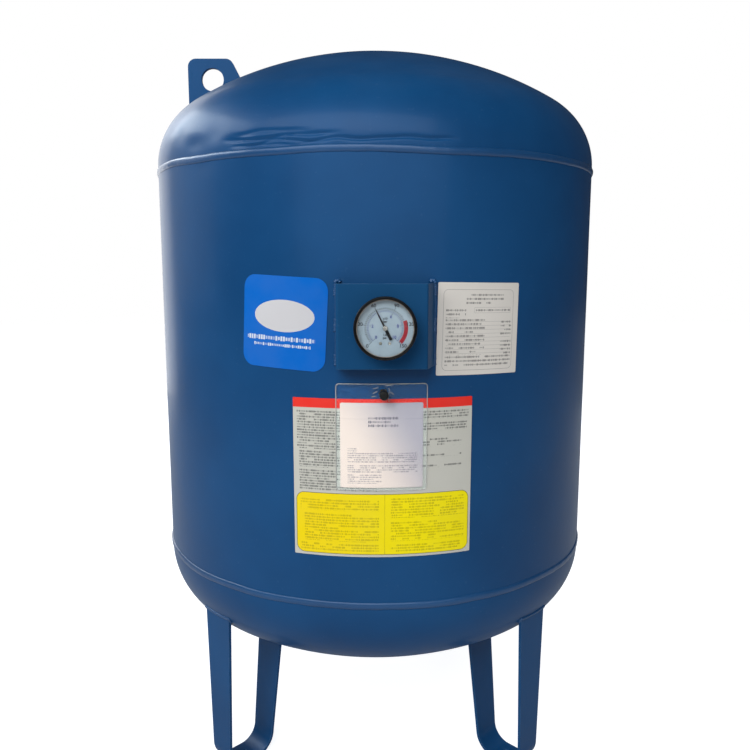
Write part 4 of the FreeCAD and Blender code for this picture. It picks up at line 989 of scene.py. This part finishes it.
def make_bracket_welds():
    """A thin bead and short tacks down both sides of the bracket, heaped at its top corners."""
    low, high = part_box("gauge_bracket")
    tacks = ((low.z + 0.012, 0.010), ((low.z + high.z) / 2, 0.012), (high.z - 0.012, 0.010))
    paths = []
    for number, side in enumerate((low.x, high.x), 1):
        azimuth = math.asin(side / SHELL_RADIUS)
        inward = -math.copysign(1.0, side)
        for level, reach in tacks:
            paths.append(([on_tank(SHELL_RADIUS, azimuth, level + reach * part)
                           for part in spread(-1.0, 1.0, 7)], False))
        heap = [on_tank(SHELL_RADIUS, azimuth + inward * 0.018 * part,
                        high.z + 0.001 + 0.004 * math.sin(math.pi * part))
                for part in spread(0.0, 1.0, 9)]
        paths.append((heap, False))
        edge = [on_tank(SHELL_RADIUS + 0.0006, azimuth, level) for level in spread(low.z, high.z, 40)]
        weld(f"bracket_bead_{number}", [(edge, False)], 0.0021, 0.0021, number,
             ripple_rise=0.0001, lump_size=0.012, lump_rise=0.0012)
    weld("bracket_welds", paths, 0.0040, 0.0040, 5, ripple_pitch=0.0035, ripple_rise=0.0004,
         lump_size=0.007, lump_rise=0.0044, segment=0.001)


# Thread of the water connection
PIPE_PITCH = 2.309 * MM
PIPE_DEPTH = 1.48 * MM
PIPE_THREAD_LENGTH = 45 * MM
PIPE_WALL = 4.5 * MM
PIPE_NECK_STEP = 1.6 * MM


def make_pipe_thread():
    """The water connection with its two-inch pipe thread."""
    low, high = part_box("water_connection")
    outer = (high.x - low.x) / 2
    bore, neck = outer - PIPE_WALL, outer - PIPE_NECK_STEP
    top = low.z + PIPE_THREAD_LENGTH
    profile = [(bore, low.z, False), (neck, low.z, False)]
    profile += [(outer, height, True) for height in spread(low.z + 0.3 * MM, top - 0.3 * MM, 136)]
    profile += [(neck, top, False), (neck, high.z, False), (bore, high.z, False)]

    def cut(azimuth, height):
        turn = 2 * math.pi * height / PIPE_PITCH + azimuth
        return -PIPE_DEPTH * (0.5 - 0.5 * math.cos(turn))

    points, faces = revolve(profile, 120, cut)
    new_piece("pipe_thread", points, faces, "zinc_plate", "zinc_plate", replaces=["water_connection"])


def make_boss_welds():
    """Fillets round the neck ring and the top boss."""
    for name, (low, high), rim, sign, size, lump_rise, lump_size, seed in (
            ("neck_weld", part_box("neck_ring"), LOWER_RIM, -1, 0.004, 0.0016, 0.018, 3),
            ("top_boss_weld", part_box("top_boss"), UPPER_RIM, 1, 0.0034, 0.0014, 0.014, 4)):
        radius = (high.x - low.x) / 2
        gap = 0.001 if sign < 0 else 0.0
        level = rim + sign * (head_height(radius) + gap)
        path = [on_tank(radius + 0.001, 2 * math.pi * index / 240, level) for index in range(240)]
        weld(name, [(path, True)], size, size, seed, ripple_rise=0.0003, lump_rise=lump_rise,
             lump_size=lump_size)


make_leg_welds()
make_lug_welds()
make_bracket_welds()
make_boss_welds()
make_pipe_thread()


# Labels
LABEL_GAP = 0.3 * MM
LABEL_THICKNESS = 0.25 * MM


def label_span(node):
    """Azimuth and height of a label's middle, its half width along the shell, and its half height."""
    azimuths = [math.atan2(vertex.co.x, -vertex.co.y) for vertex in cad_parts[node].data.vertices]
    low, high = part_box(node)
    middle = (min(azimuths) + max(azimuths)) / 2
    half = (max(azimuths) - min(azimuths)) / 2 * SHELL_RADIUS
    return middle, (low.z + high.z) / 2, half, (high.z - low.z) / 2


def curved_sheet(name, azimuth, level, half_width, half_height, corner, inner, thickness,
                 material, slot, replaces, columns=48, rows=36, lift=None, tilt=0.0):
    """A thin sheet round the shell with rounded corners, its own flat place kept as a UV map.

    The tilt is clockwise, in degrees.
    """
    cosine, sine = math.cos(math.radians(tilt)), math.sin(math.radians(tilt))
    heights = [half_height * math.sin(math.pi / 2 * part) for part in spread(-1.0, 1.0, rows)]
    grid = []
    for height in heights:
        past = max(abs(height) - (half_height - corner), 0.0)
        cut = corner - math.sqrt(max(corner ** 2 - past ** 2, 0.0))
        for part in spread(-1.0, 1.0, columns):
            grid.append(((half_width - cut) * part, height))
    points, flat = [], []
    for rise in (thickness, 0.0):
        for across, height in grid:
            raised = lift(across, height) if lift else 0.0
            along = across * cosine + height * sine
            points.append(on_tank(inner + rise + raised, azimuth + along / SHELL_RADIUS,
                                  level + height * cosine - across * sine))
            flat.append((across, height))
    front = [(row * columns + column, row * columns + column + 1,
              (row + 1) * columns + column + 1, (row + 1) * columns + column)
             for row in range(rows - 1) for column in range(columns - 1)]
    count = len(grid)
    back = [tuple(count + corner_number for corner_number in reversed(face)) for face in front]
    rim = ([column for column in range(columns)]
           + [row * columns + columns - 1 for row in range(1, rows)]
           + [(rows - 1) * columns + column for column in range(columns - 2, -1, -1)]
           + [row * columns for row in range(rows - 2, 0, -1)])
    sides = [(rim[number], count + rim[number], count + rim[(number + 1) % len(rim)],
              rim[(number + 1) % len(rim)]) for number in range(len(rim))]
    piece = new_piece(name, points, front + back + sides, material, slot, replaces=replaces, smooth=60)
    layer = piece.data.uv_layers.new(name="label")
    for loop in piece.data.loops:
        layer.data[loop.index].uv = flat[loop.vertex_index]


def make_labels():
    azimuth, level, half_width, half_height = label_span("product_label")
    curved_sheet("product_sheet", azimuth, level, half_width, half_height, 0.0015,
                 SHELL_RADIUS + LABEL_GAP, LABEL_THICKNESS, make_product_print(half_width, half_height),
                 "printed_film", ["product_label"], columns=72, rows=48)
    azimuth, level, half_width, half_height = label_span("blue_label")
    curved_sheet("blue_sheet", azimuth, level, half_width * 0.965, half_height * 0.94, 0.024,
                 SHELL_RADIUS + LABEL_GAP, LABEL_THICKNESS, "blue_print", "blue_film", ["blue_label"],
                 tilt=3.0)
    azimuth, level, half_width, half_height = label_span("rating_label")
    curved_sheet("rating_sheet", azimuth, level, half_width, half_height, 0.0025,
                 SHELL_RADIUS + LABEL_GAP, LABEL_THICKNESS, make_rating_print(half_width, half_height),
                 "white_film", ["rating_label"], tilt=1.0)


make_labels()


# Dial print, gauge rim and screws
PRINT_DEPTH = 0.06 * MM

# Height of a printed figure over its font's size
FIGURE_RATIO = 0.60

# Angles on the dial in degrees from upright: the scale's two ends, its figures' step, the red band's start
SCALE_START = -135
SCALE_END = 135
FIGURE_STEP = 54
RED_START = 69
FIGURES = 6


def by_clock(radius, angle):
    """A place on the dial by radius and by angle in degrees from upright, clockwise."""
    turn = math.radians(angle)
    return radius * math.sin(turn), radius * math.cos(turn)


def on_dial(across, up, rise):
    """A point in front of the dial's face, by its place from the dial's centre."""
    return Vector((across, DIAL_FACE - rise, GAUGE_CENTRE + up))


def flat_solid(outline, rise, depth):
    """A flat solid in front of the dial from a clockwise outline of (across, up)."""
    points = [on_dial(across, up, rise + layer) for layer in (depth, 0.0) for across, up in outline]
    count = len(outline)
    faces = [tuple(range(count - 1, -1, -1)), tuple(range(count, 2 * count))]
    faces += [(number, (number + 1) % count, count + (number + 1) % count, count + number)
              for number in range(count)]
    return points, faces


def gather(parts):
    """One set of points and faces from several."""
    points, faces = [], []
    for part_points, part_faces in parts:
        first = len(points)
        points += part_points
        faces += [tuple(first + number for number in face) for face in part_faces]
    return points, faces


def disc(radius, across, up, rise, depth, count=16):
    outline = [by_clock(radius, 360 / count * number) for number in range(count)]
    return flat_solid([(across + x, up + z) for x, z in outline], rise, depth)


def band(inner, outer, start, end, count):
    """Curved bar between two angles, as flat solids end to end."""
    angles = spread(start, end, count)
    outline = [by_clock(outer, angle) for angle in angles]
    outline += [by_clock(inner, angle) for angle in angles[::-1]]
    points, faces = flat_solid(outline, 0.0, PRINT_DEPTH)
    total = len(outline)
    strips = []
    for number in range(count - 1):
        here, back = number, total - 1 - number
        strips.append((here, back, back - 1, here + 1))
        strips.append((total + here, total + here + 1, total + back - 1, total + back))
    return points, strips + faces[2:]


def figure(text, height, radius, angle):
    """Printed figure as a thin solid, centred on its place on the dial."""
    curve = bpy.data.curves.new("figure", "FONT")
    curve.body = text
    curve.size = height / FIGURE_RATIO
    curve.align_x, curve.align_y = "CENTER", "CENTER"
    curve.extrude = PRINT_DEPTH / 2
    curve.offset = 0.2 * MM
    curve.resolution_u = 3
    holder = bpy.data.objects.new("figure", curve)
    bpy.context.scene.collection.objects.link(holder)
    bpy.context.view_layer.update()
    graph = bpy.context.evaluated_depsgraph_get()
    mesh = bpy.data.meshes.new_from_object(holder.evaluated_get(graph), depsgraph=graph)
    across, up = by_clock(radius, angle)
    points = [on_dial(across + vertex.co.x, up + vertex.co.y, PRINT_DEPTH / 2 + vertex.co.z)
              for vertex in mesh.vertices]
    faces = [tuple(polygon.vertices) for polygon in mesh.polygons]
    bpy.data.objects.remove(holder)
    bpy.data.meshes.remove(mesh)
    bpy.data.curves.remove(curve)
    return points, faces


def tick_ring(name, count, radius, length, width, step_angle, material):
    """Printed ticks along the scale; sizes are in millimetres and the step in degrees."""
    piece = new_path(name, [([Vector(), Vector((0.0, 0.0, 0.001))], False)])
    run_tree(piece, BAR_RING_TREE, count=count, radius=radius * MM, length=length * MM,
             width=width * MM, depth=PRINT_DEPTH, start=math.radians(SCALE_START),
             step=math.radians(step_angle), centre=(0.0, DIAL_FACE - PRINT_DEPTH / 2, GAUGE_CENTRE),
             material=MATERIALS[material])
    settle(piece, material)


def scale_figures(step_value, height, radius):
    """The figures along a scale, from nought; height and radius are in millimetres."""
    return [figure(str(step_value * number), height * MM, radius * MM, SCALE_START + FIGURE_STEP * number)
            for number in range(FIGURES)]


def make_dial_print():
    tick_ring("outer_ticks", 51, 34.2, 2.8, 0.95, 5.4, "dial_ink")
    tick_ring("outer_long_ticks", 11, 34.6, 3.6, 1.0, 27, "dial_ink")
    tick_ring("inner_ticks", 51, 29.4, 2.6, 0.9, 5.4, "dial_blue_ink")
    tick_ring("inner_long_ticks", 11, 29.4, 2.8, 0.9, 27, "dial_ink")
    rings = [band(32.6 * MM, 32.9 * MM, SCALE_START, RED_START, 61),
             band(30.9 * MM, 31.2 * MM, SCALE_START, SCALE_END, 81)]
    dots = [disc(size * MM, *by_clock(radius * MM, SCALE_START + FIGURE_STEP * number), 0.0, PRINT_DEPTH)
            for size, radius in ((0.8, 38.2), (0.7, 26.2)) for number in range(FIGURES)]
    new_piece("dial_dots", *gather(rings + dots), "dial_ink", None)
    marks = [figure("x10", 3.2 * MM, 16.5 * MM, 0), figure("bar", 3.4 * MM, 11.5 * MM, 0),
             figure("1.6", 3.2 * MM, 11.5 * MM, 182), figure("psi", 3.4 * MM, 16.5 * MM, 183)]
    new_piece("dial_figures", *gather(scale_figures(30, 5.2, 43.2) + marks), "dial_ink", None)
    new_piece("dial_inner_figures", *gather(scale_figures(2, 4.6, 22.0)), "dial_blue_ink", None)
    new_piece("dial_red_band", *band(32.4 * MM, 39.4 * MM, RED_START, 133, 33), "dial_red", None)


def make_dial_screws():
    """Two slotted screws below the pointer's axis."""
    parts = []
    for angle in (-163, 163):
        across, up = by_clock(27.2 * MM, angle)
        parts.append(disc(2.7 * MM, across, up, 0.0, 0.5 * MM, 28))
        turn = math.radians(angle * 0.9)
        cosine, sine = math.cos(turn), math.sin(turn)
        for side in (90, 270):
            outline = [by_clock(2.6 * MM, side - 78 + 12 * number) for number in range(14)]
            outline = [(across + x * cosine - z * sine, up + x * sine + z * cosine) for x, z in outline]
            parts.append(flat_solid(outline, 0.45 * MM, 0.5 * MM))
    new_piece("dial_screws", *gather(parts), "chromed", "chromed")


def plain_ring(profile, segments):
    """A ring about the gauge's axis from a profile of (radius, forward)."""
    return revolve([(radius, forward, False) for radius, forward in profile], segments, place=on_front)


def make_bezel():
    """Rolled ring with a round outer edge, a groove and a slope to the window, and a pale ring inside it that
    is a painted highlight.
    """
    low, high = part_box("gauge_bezel")
    front, back = -low.y, -high.y
    outer = (high.x - low.x) / 2
    window = outer - 6.3 * MM
    hold = outer - 2.4 * MM
    lens = front - 2 * MM
    profile = [(hold, back), (outer - 1.4 * MM, back), (outer - 0.4 * MM, back + 0.4 * MM),
               (outer, back + 1.4 * MM)]
    for angle in spread(0, 150, 11):
        turn = math.radians(angle)
        profile.append((outer - 1.8 * MM + 1.8 * MM * math.cos(turn),
                        front - 1.8 * MM + 1.8 * MM * math.sin(turn)))
    profile += [(outer - 4.0 * MM, front - 1.25 * MM), (outer - 4.5 * MM, front - 0.7 * MM),
                (outer - 5.0 * MM, front - 0.6 * MM), (window, front - 1.5 * MM), (window, lens),
                (hold, lens)]
    new_piece("bezel_ring", *plain_ring(profile, 160), "black_steel", "black_steel",
              replaces=["gauge_bezel"], smooth=35)
    # A thin tan ring at the window's edge: painted highlight.
    trim = [(window + 0.95 * MM, front - 1.25 * MM), (window + 0.95 * MM, front - 0.85 * MM),
            (window + 0.35 * MM, front - 0.9 * MM), (window + 0.05 * MM, front - 1.3 * MM),
            (window + 0.35 * MM, front - 1.45 * MM)]
    new_piece("window_trim", *plain_ring(trim, 120), "worn_trim", None, smooth=35)


# The dust cap: its ridges, points round it, bore, and the wall at its closed end
CAP_RIDGES = 22
CAP_SEGMENTS = 176
CAP_BORE = 4.1 * MM
CAP_END = 2.2 * MM
CAP_DOME = 3 * MM


def make_cap():
    """Moulded dust cap with grip ridges and a domed end."""
    low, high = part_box("valve_cap")
    front, back = -low.y, -high.y
    outer = (high.x - low.x) / 2
    profile = [(CAP_BORE, back, False), (outer - 0.8 * MM, back, False),
               (outer - 0.2 * MM, back + 0.4 * MM, False), (outer, back + 1.2 * MM, False)]
    profile += [(outer, forward, True) for forward in spread(back + 1.8 * MM, front - 4.4 * MM, 8)]
    for angle in spread(0, 90, 7)[:-1]:
        turn = math.radians(angle)
        profile.append((outer - CAP_DOME + CAP_DOME * math.cos(turn),
                        front - 3.2 * MM + CAP_DOME * math.sin(turn), False))
    profile += [(1.0 * MM, front, False), (1.0 * MM, front - CAP_END, False),
                (CAP_BORE, front - CAP_END, False)]

    def ridge(turn, forward):
        return -0.55 * MM * (0.5 - 0.5 * math.cos(CAP_RIDGES * turn)) ** 2

    points, faces = revolve(profile, CAP_SEGMENTS, ridge, on_valve)
    middle = len(points)
    count = len(profile)
    tip = [number * count + count - 3 for number in range(CAP_SEGMENTS)]
    points += [on_valve(0.0, 0.0, front), on_valve(0.0, 0.0, front - CAP_END)]
    for number in range(CAP_SEGMENTS):
        after = (number + 1) % CAP_SEGMENTS
        faces.append((tip[number], tip[after], middle))
        faces.append((tip[after] + 1, tip[number] + 1, middle + 1))
    faces = [face for face in faces if not is_core_wall(face, count)]
    new_piece("grip_cap", points, faces, "black_cap", "black_cap", replaces=["valve_cap"], smooth=50)


def is_core_wall(face, count):
    """Whether a face is the small inner wall that the cap's filled middle takes the place of."""
    return len(face) == 4 and set(number % count for number in face) == {count - 3, count - 2}


make_dial_print()
make_dial_screws()
make_bezel()
make_cap()


# Document pocket
FILM = 0.4 * MM
POCKET_GAP = 1.2 * MM
POCKET_HOLE = 7.3 * MM
HOLE_POINTS = 32


def pocket_place(low, high):
    """Azimuth and half width of a sheet on the shell from its box."""
    left, right = math.asin(low.x / SHELL_RADIUS), math.asin(high.x / SHELL_RADIUS)
    return (left + right) / 2, (right - left) / 2 * SHELL_RADIUS


def film_layout(half_width, half_height, corner, hole_across, hole_up, pitch):
    """Flat triangles over a rounded sheet with a round hole."""
    ends = []
    for side, level, start in ((1, -1, -90), (1, 1, 0), (-1, 1, 90), (-1, -1, 180)):
        for number in range(7):
            angle = math.radians(start + 15 * number)
            ends.append(Vector((side * (half_width - corner) + corner * math.cos(angle),
                                level * (half_height - corner) + corner * math.sin(angle))))
    outline = []
    for number, here in enumerate(ends):
        there = ends[(number + 1) % len(ends)]
        pieces = max(1, round((there - here).length / pitch))
        outline += [here.lerp(there, part / pieces) for part in range(pieces)]
    hole = []
    for number in range(HOLE_POINTS):
        angle = 2 * math.pi * number / HOLE_POINTS
        hole.append(Vector((hole_across + POCKET_HOLE * math.cos(angle),
                            hole_up + POCKET_HOLE * math.sin(angle))))
    middle = Vector((hole_across, hole_up))
    inside = []
    for across in spread(-half_width + pitch, half_width - pitch, int(2 * half_width / pitch)):
        for up in spread(-half_height + pitch, half_height - pitch, int(2 * half_height / pitch)):
            spot = Vector((across, up))
            past = Vector((max(abs(across) - half_width + corner, 0), max(abs(up) - half_height + corner, 0)))
            if (spot - middle).length > POCKET_HOLE + pitch / 2 and past.length < corner - pitch / 3:
                inside.append(spot)
    edges = [(number, (number + 1) % len(outline)) for number in range(len(outline))]
    edges += [(len(outline) + number, len(outline) + (number + 1) % HOLE_POINTS)
              for number in range(HOLE_POINTS)]
    spots, _, faces, _, _, _ = geometry.delaunay_2d_cdt(outline + hole + inside, edges, [], 1, 1e-6)
    kept = []
    for face in faces:
        centre = sum((spots[number] for number in face), Vector((0.0, 0.0))) / len(face)
        if (centre - middle).length > POCKET_HOLE * 0.99:
            kept.append(tuple(face))
    return spots, kept, outline


def film_bead(name, paths, half, lump_size, lump_rise, segment):
    """Milky line along paths: on the welded seam it is the film's own look, on the creases it is painted
    highlight.
    """
    piece = new_path(name, paths)
    run_tree(piece, BEAD_TREE, half_width=half, half_height=half, ripple_pitch=20 * MM,
             ripple_rise=0.04 * MM, lump_size=lump_size, lump_rise=lump_rise, segment=segment,
             material=MATERIALS["film_seam"])
    settle(piece, "film_seam", smooth=70)


# Creases round the hanging hole, drawn as pale lines that are painted highlight, in millimetres from it:
# across, up, sideways lean, downward reach
CREASES = (
    (9.4, 10, 0.5, 25), (-12, 4, -8, 5), (-15, -5, -7, 1), (3, 14, 14, -2), (-9, 11, -9, 2), (13, 2, 6, 4),
)


def make_pocket():
    """Two films welded along three sides, hung on the valve's boss, with the folded sheet inside."""
    low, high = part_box("document_pocket")
    azimuth, half_width = pocket_place(low, high)
    level, half_height = (low.z + high.z) / 2, (high.z - low.z) / 2
    hole_across, hole_up = -azimuth * SHELL_RADIUS, VALVE_CENTRE - level
    inner = SHELL_RADIUS + POCKET_GAP
    spots, triangles, outline = film_layout(half_width, half_height, 6 * MM, hole_across, hole_up, 3 * MM)

    def swell(spot):
        """Front film's height above the back film: flat at the welded edges, creased elsewhere."""
        edge = min(half_width - abs(spot.x), half_height + spot.y)
        part = min(max(edge / (8 * MM), 0.0), 1.0)
        part = part * part * (3 - 2 * part)
        crease = 0.7 * MM * noise.noise(Vector((spot.x * 55, spot.y * 24, 1.7)))
        crease += 0.35 * MM * abs(noise.noise(Vector((spot.x * 30 + spot.y * 70, spot.y * 60, 6.1))))
        above = min(max((spot.y - half_height + 46 * MM) / (12 * MM), 0.0), 1.0)
        fold = 1.5 * MM * math.exp(-((spot.x - hole_across - 9.4 * MM) / (1.3 * MM)) ** 2) * above
        return part * (1.9 * MM + crease + fold)

    def on_shell(spot, radius):
        return on_tank(radius, azimuth + spot.x / SHELL_RADIUS, level + spot.y)

    used = {}
    for face in triangles:
        for number in range(3):
            pair = (face[number], face[(number + 1) % 3])
            used.setdefault(tuple(sorted(pair)), []).append(pair)
    rim = [pairs[0] for pairs in used.values() if len(pairs) == 1]
    count = len(spots)
    parts = []
    for base, rise in ((inner, lambda spot: 0.0), (inner + FILM + 0.05 * MM, swell)):
        points = [on_shell(spot, base + rise(spot) + FILM) for spot in spots]
        points += [on_shell(spot, base + rise(spot)) for spot in spots]
        faces = list(triangles) + [tuple(count + number for number in face[::-1]) for face in triangles]
        faces += [(there, here, count + here, count + there) for here, there in rim]
        parts.append((points, faces))
    new_piece("pocket_film", *gather(parts), "clear_film", "clear_film",
              replaces=["document_pocket"], smooth=60)
    seam = [on_shell(spot, inner + 0.7 * MM) for spot in outline]
    film_bead("pocket_seam", [(seam, True)], 0.95 * MM, 20 * MM, 0.3 * MM, 2 * MM)
    creases = []
    for number, (across, up, lean, reach) in enumerate(CREASES):
        path = []
        for part in spread(0.0, 1.0, 9):
            bend = 0.9 * MM * math.sin(part * 7 + number)
            spot = Vector((hole_across + across * MM + lean * MM * part + bend,
                           hole_up + up * MM - reach * MM * part))
            path.append(on_shell(spot, inner + 3.6 * MM))
        creases.append((path, False))
    # The creases' pale lines are painted highlight.
    film_bead("pocket_crease_highlights", creases, 0.8 * MM, 6 * MM, 0.6 * MM, 1.5 * MM)

    low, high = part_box("document_sheet")
    azimuth, half_width = pocket_place(low, high)

    def wave(across, up):
        return 0.25 * MM * noise.noise(Vector((across * 18, up * 12, 4.4)))

    curved_sheet("printed_sheet", azimuth, (low.z + high.z) / 2, half_width, (high.z - low.z) / 2,
                 3 * MM, inner + FILM + 0.45 * MM, 0.4 * MM, "paper", "paper", ["document_sheet"], lift=wave)


make_pocket()


# Finishes of the pieces that keep their own shape
NODE_FINISHES = {
    "blue_plate": ("leg_1", "leg_2", "leg_3", "leg_4", "lifting_lug", "neck_ring", "counter_flange",
                   "gauge_boss", "valve_boss", "top_boss"),
    "blue_fold": ("gauge_bracket",),
    "blue_weld": ("long_seam_weld",),
    "zinc_plate": ("water_connection", "flange_bolts", "bladder_tie_stem", "top_washer", "top_nut"),
    "black_rubber": ("bladder",),
    "copper": ("gauge_gasket", "spring_tube"),
    "brass": ("gauge_socket", "gauge_movement", "valve_body", "valve_core"),
    "chromed": ("pointer_arbor",),
    "black_steel": ("gauge_case",),
    "clear_glass": ("gauge_lens",),
    "dial_white": ("gauge_dial",),
    "pointer_black": ("gauge_pointer",),
}


def finish_nodes():
    for material, nodes in NODE_FINISHES.items():
        for node in nodes:
            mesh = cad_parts[node].data
            mesh.materials.clear()
            mesh.materials.append(MATERIALS[material])


finish_nodes()


# Camera, floor and light
CAMERA_PLACE = (-0.0561, -1.8361, 1.0963)
CAMERA_DROP = math.radians(8.46)
CAMERA_LENS = 35.77
FLOOR_HALF = 12.0
FLOOR_GLOW = 0.84

# Lights: name, place, height aimed at, width and height, power, tint, and whether a light is soft (unseen
# in gloss), a sheen (seen in gloss only) or both
LIGHTS = (
    ("key", (-2.0, -3.5, 3.5), 0.9, (4.6, 2.4), 180, (1.0, 0.99, 0.97), "soft"),
    ("front", (-0.3, -4.5, 2.2), 0.9, (6.6, 2.4), 40, (1.0, 1.0, 1.0), "sheen"),
    ("top", (-0.9, -3.3, 3.5), 1.3, (6.0, 1.6), 72, (0.88, 0.96, 1.0), "sheen"),
    ("side", (-3.3, 0.5, 2.1), 1.1, (2.0, 2.6), 10, (0.97, 0.99, 1.0), "both"),
    ("sky", (-3.3, 0.6, 3.1), 1.4, (4.6, 1.1), 80, (0.86, 0.95, 1.0), "sheen"),
    ("back", (2.6, 3.2, 2.4), 0.9, (3.6, 2.4), 56, (1.0, 1.0, 1.0), "soft"),
    ("fill", (3.4, -2.4, 1.8), 0.8, (1.8, 2.4), 6, (0.95, 0.98, 1.0), "soft"),
    ("rim", (-2.6, 3.2, 1.9), 0.9, (2.2, 3.8), 52, (1.0, 1.0, 1.0), "both"),
)


def make_camera():
    data = bpy.data.cameras.new("camera")
    data.lens = CAMERA_LENS
    data.sensor_width = 36.0
    data.clip_start = 0.05
    camera = bpy.data.objects.new("camera", data)
    camera.location = CAMERA_PLACE
    camera.rotation_euler = (math.pi / 2 - CAMERA_DROP, 0.0, FRAME_TURN)
    bpy.context.scene.collection.objects.link(camera)
    bpy.context.scene.camera = camera


def make_light(name, place, aim, size, power, tint, use):
    data = bpy.data.lights.new(name, "AREA")
    data.shape = "RECTANGLE"
    data.size, data.size_y = size
    data.energy = power
    data.color = tint
    light = bpy.data.objects.new(name, data)
    light.location = place
    light.visible_glossy = use != "soft"
    light.visible_diffuse = use != "sheen"
    light.visible_transmission = use != "sheen"
    direction = Vector((0.0, 0.0, aim)) - Vector(place)
    light.rotation_euler = direction.to_track_quat("-Z", "Y").to_euler()
    bpy.context.scene.collection.objects.link(light)


def make_world(diffuse_strength, gloss_strength):
    """White behind the object, and softer greys as its fill light and in its gloss."""
    world = bpy.data.worlds.new("studio")
    world.use_nodes = True
    tree = world.node_tree
    shader = tree.nodes["Background"]
    path = add_node(tree, "ShaderNodeLightPath")
    seen = maths(tree, "MAXIMUM", path.outputs["Is Camera Ray"], path.outputs["Is Transmission Ray"])
    unseen = blend_value(tree, path.outputs["Is Glossy Ray"], diffuse_strength, gloss_strength)
    feed(tree, shader.inputs["Color"], (1.0, 1.0, 1.0, 1.0))
    feed(tree, shader.inputs["Strength"], blend_value(tree, seen, unseen, 1.0))
    bpy.context.scene.world = world


def make_floor():
    """A pale floor that keeps the object's shadow."""
    mesh = bpy.data.meshes.new("floor")
    corners = [(across * FLOOR_HALF, back * FLOOR_HALF, 0.0)
               for across, back in ((-1, -1), (1, -1), (1, 1), (-1, 1))]
    mesh.from_pydata(corners, [], [(0, 1, 2, 3)])
    floor = bpy.data.objects.new("floor", mesh)
    bpy.context.scene.collection.objects.link(floor)
    material, tree, shader = new_material("floor_white", roughness=0.9, specular_ior_level=0.1)
    feed(tree, shader.inputs["Base Color"], colour(190, 195, 202))
    camera = add_node(tree, "ShaderNodeLightPath").outputs["Is Camera Ray"]
    glow = blend_colour(tree, camera, colour(0, 0, 0), colour(255, 255, 255))
    feed(tree, shader.inputs["Emission Color"], glow)
    feed(tree, shader.inputs["Emission Strength"], FLOOR_GLOW)
    mesh.materials.append(material)


make_camera()
make_floor()
make_world(diffuse_strength=0.32, gloss_strength=0.04)
for light_values in LIGHTS:
    make_light(*light_values)

bpy.context.scene.view_settings.view_transform = "Standard"
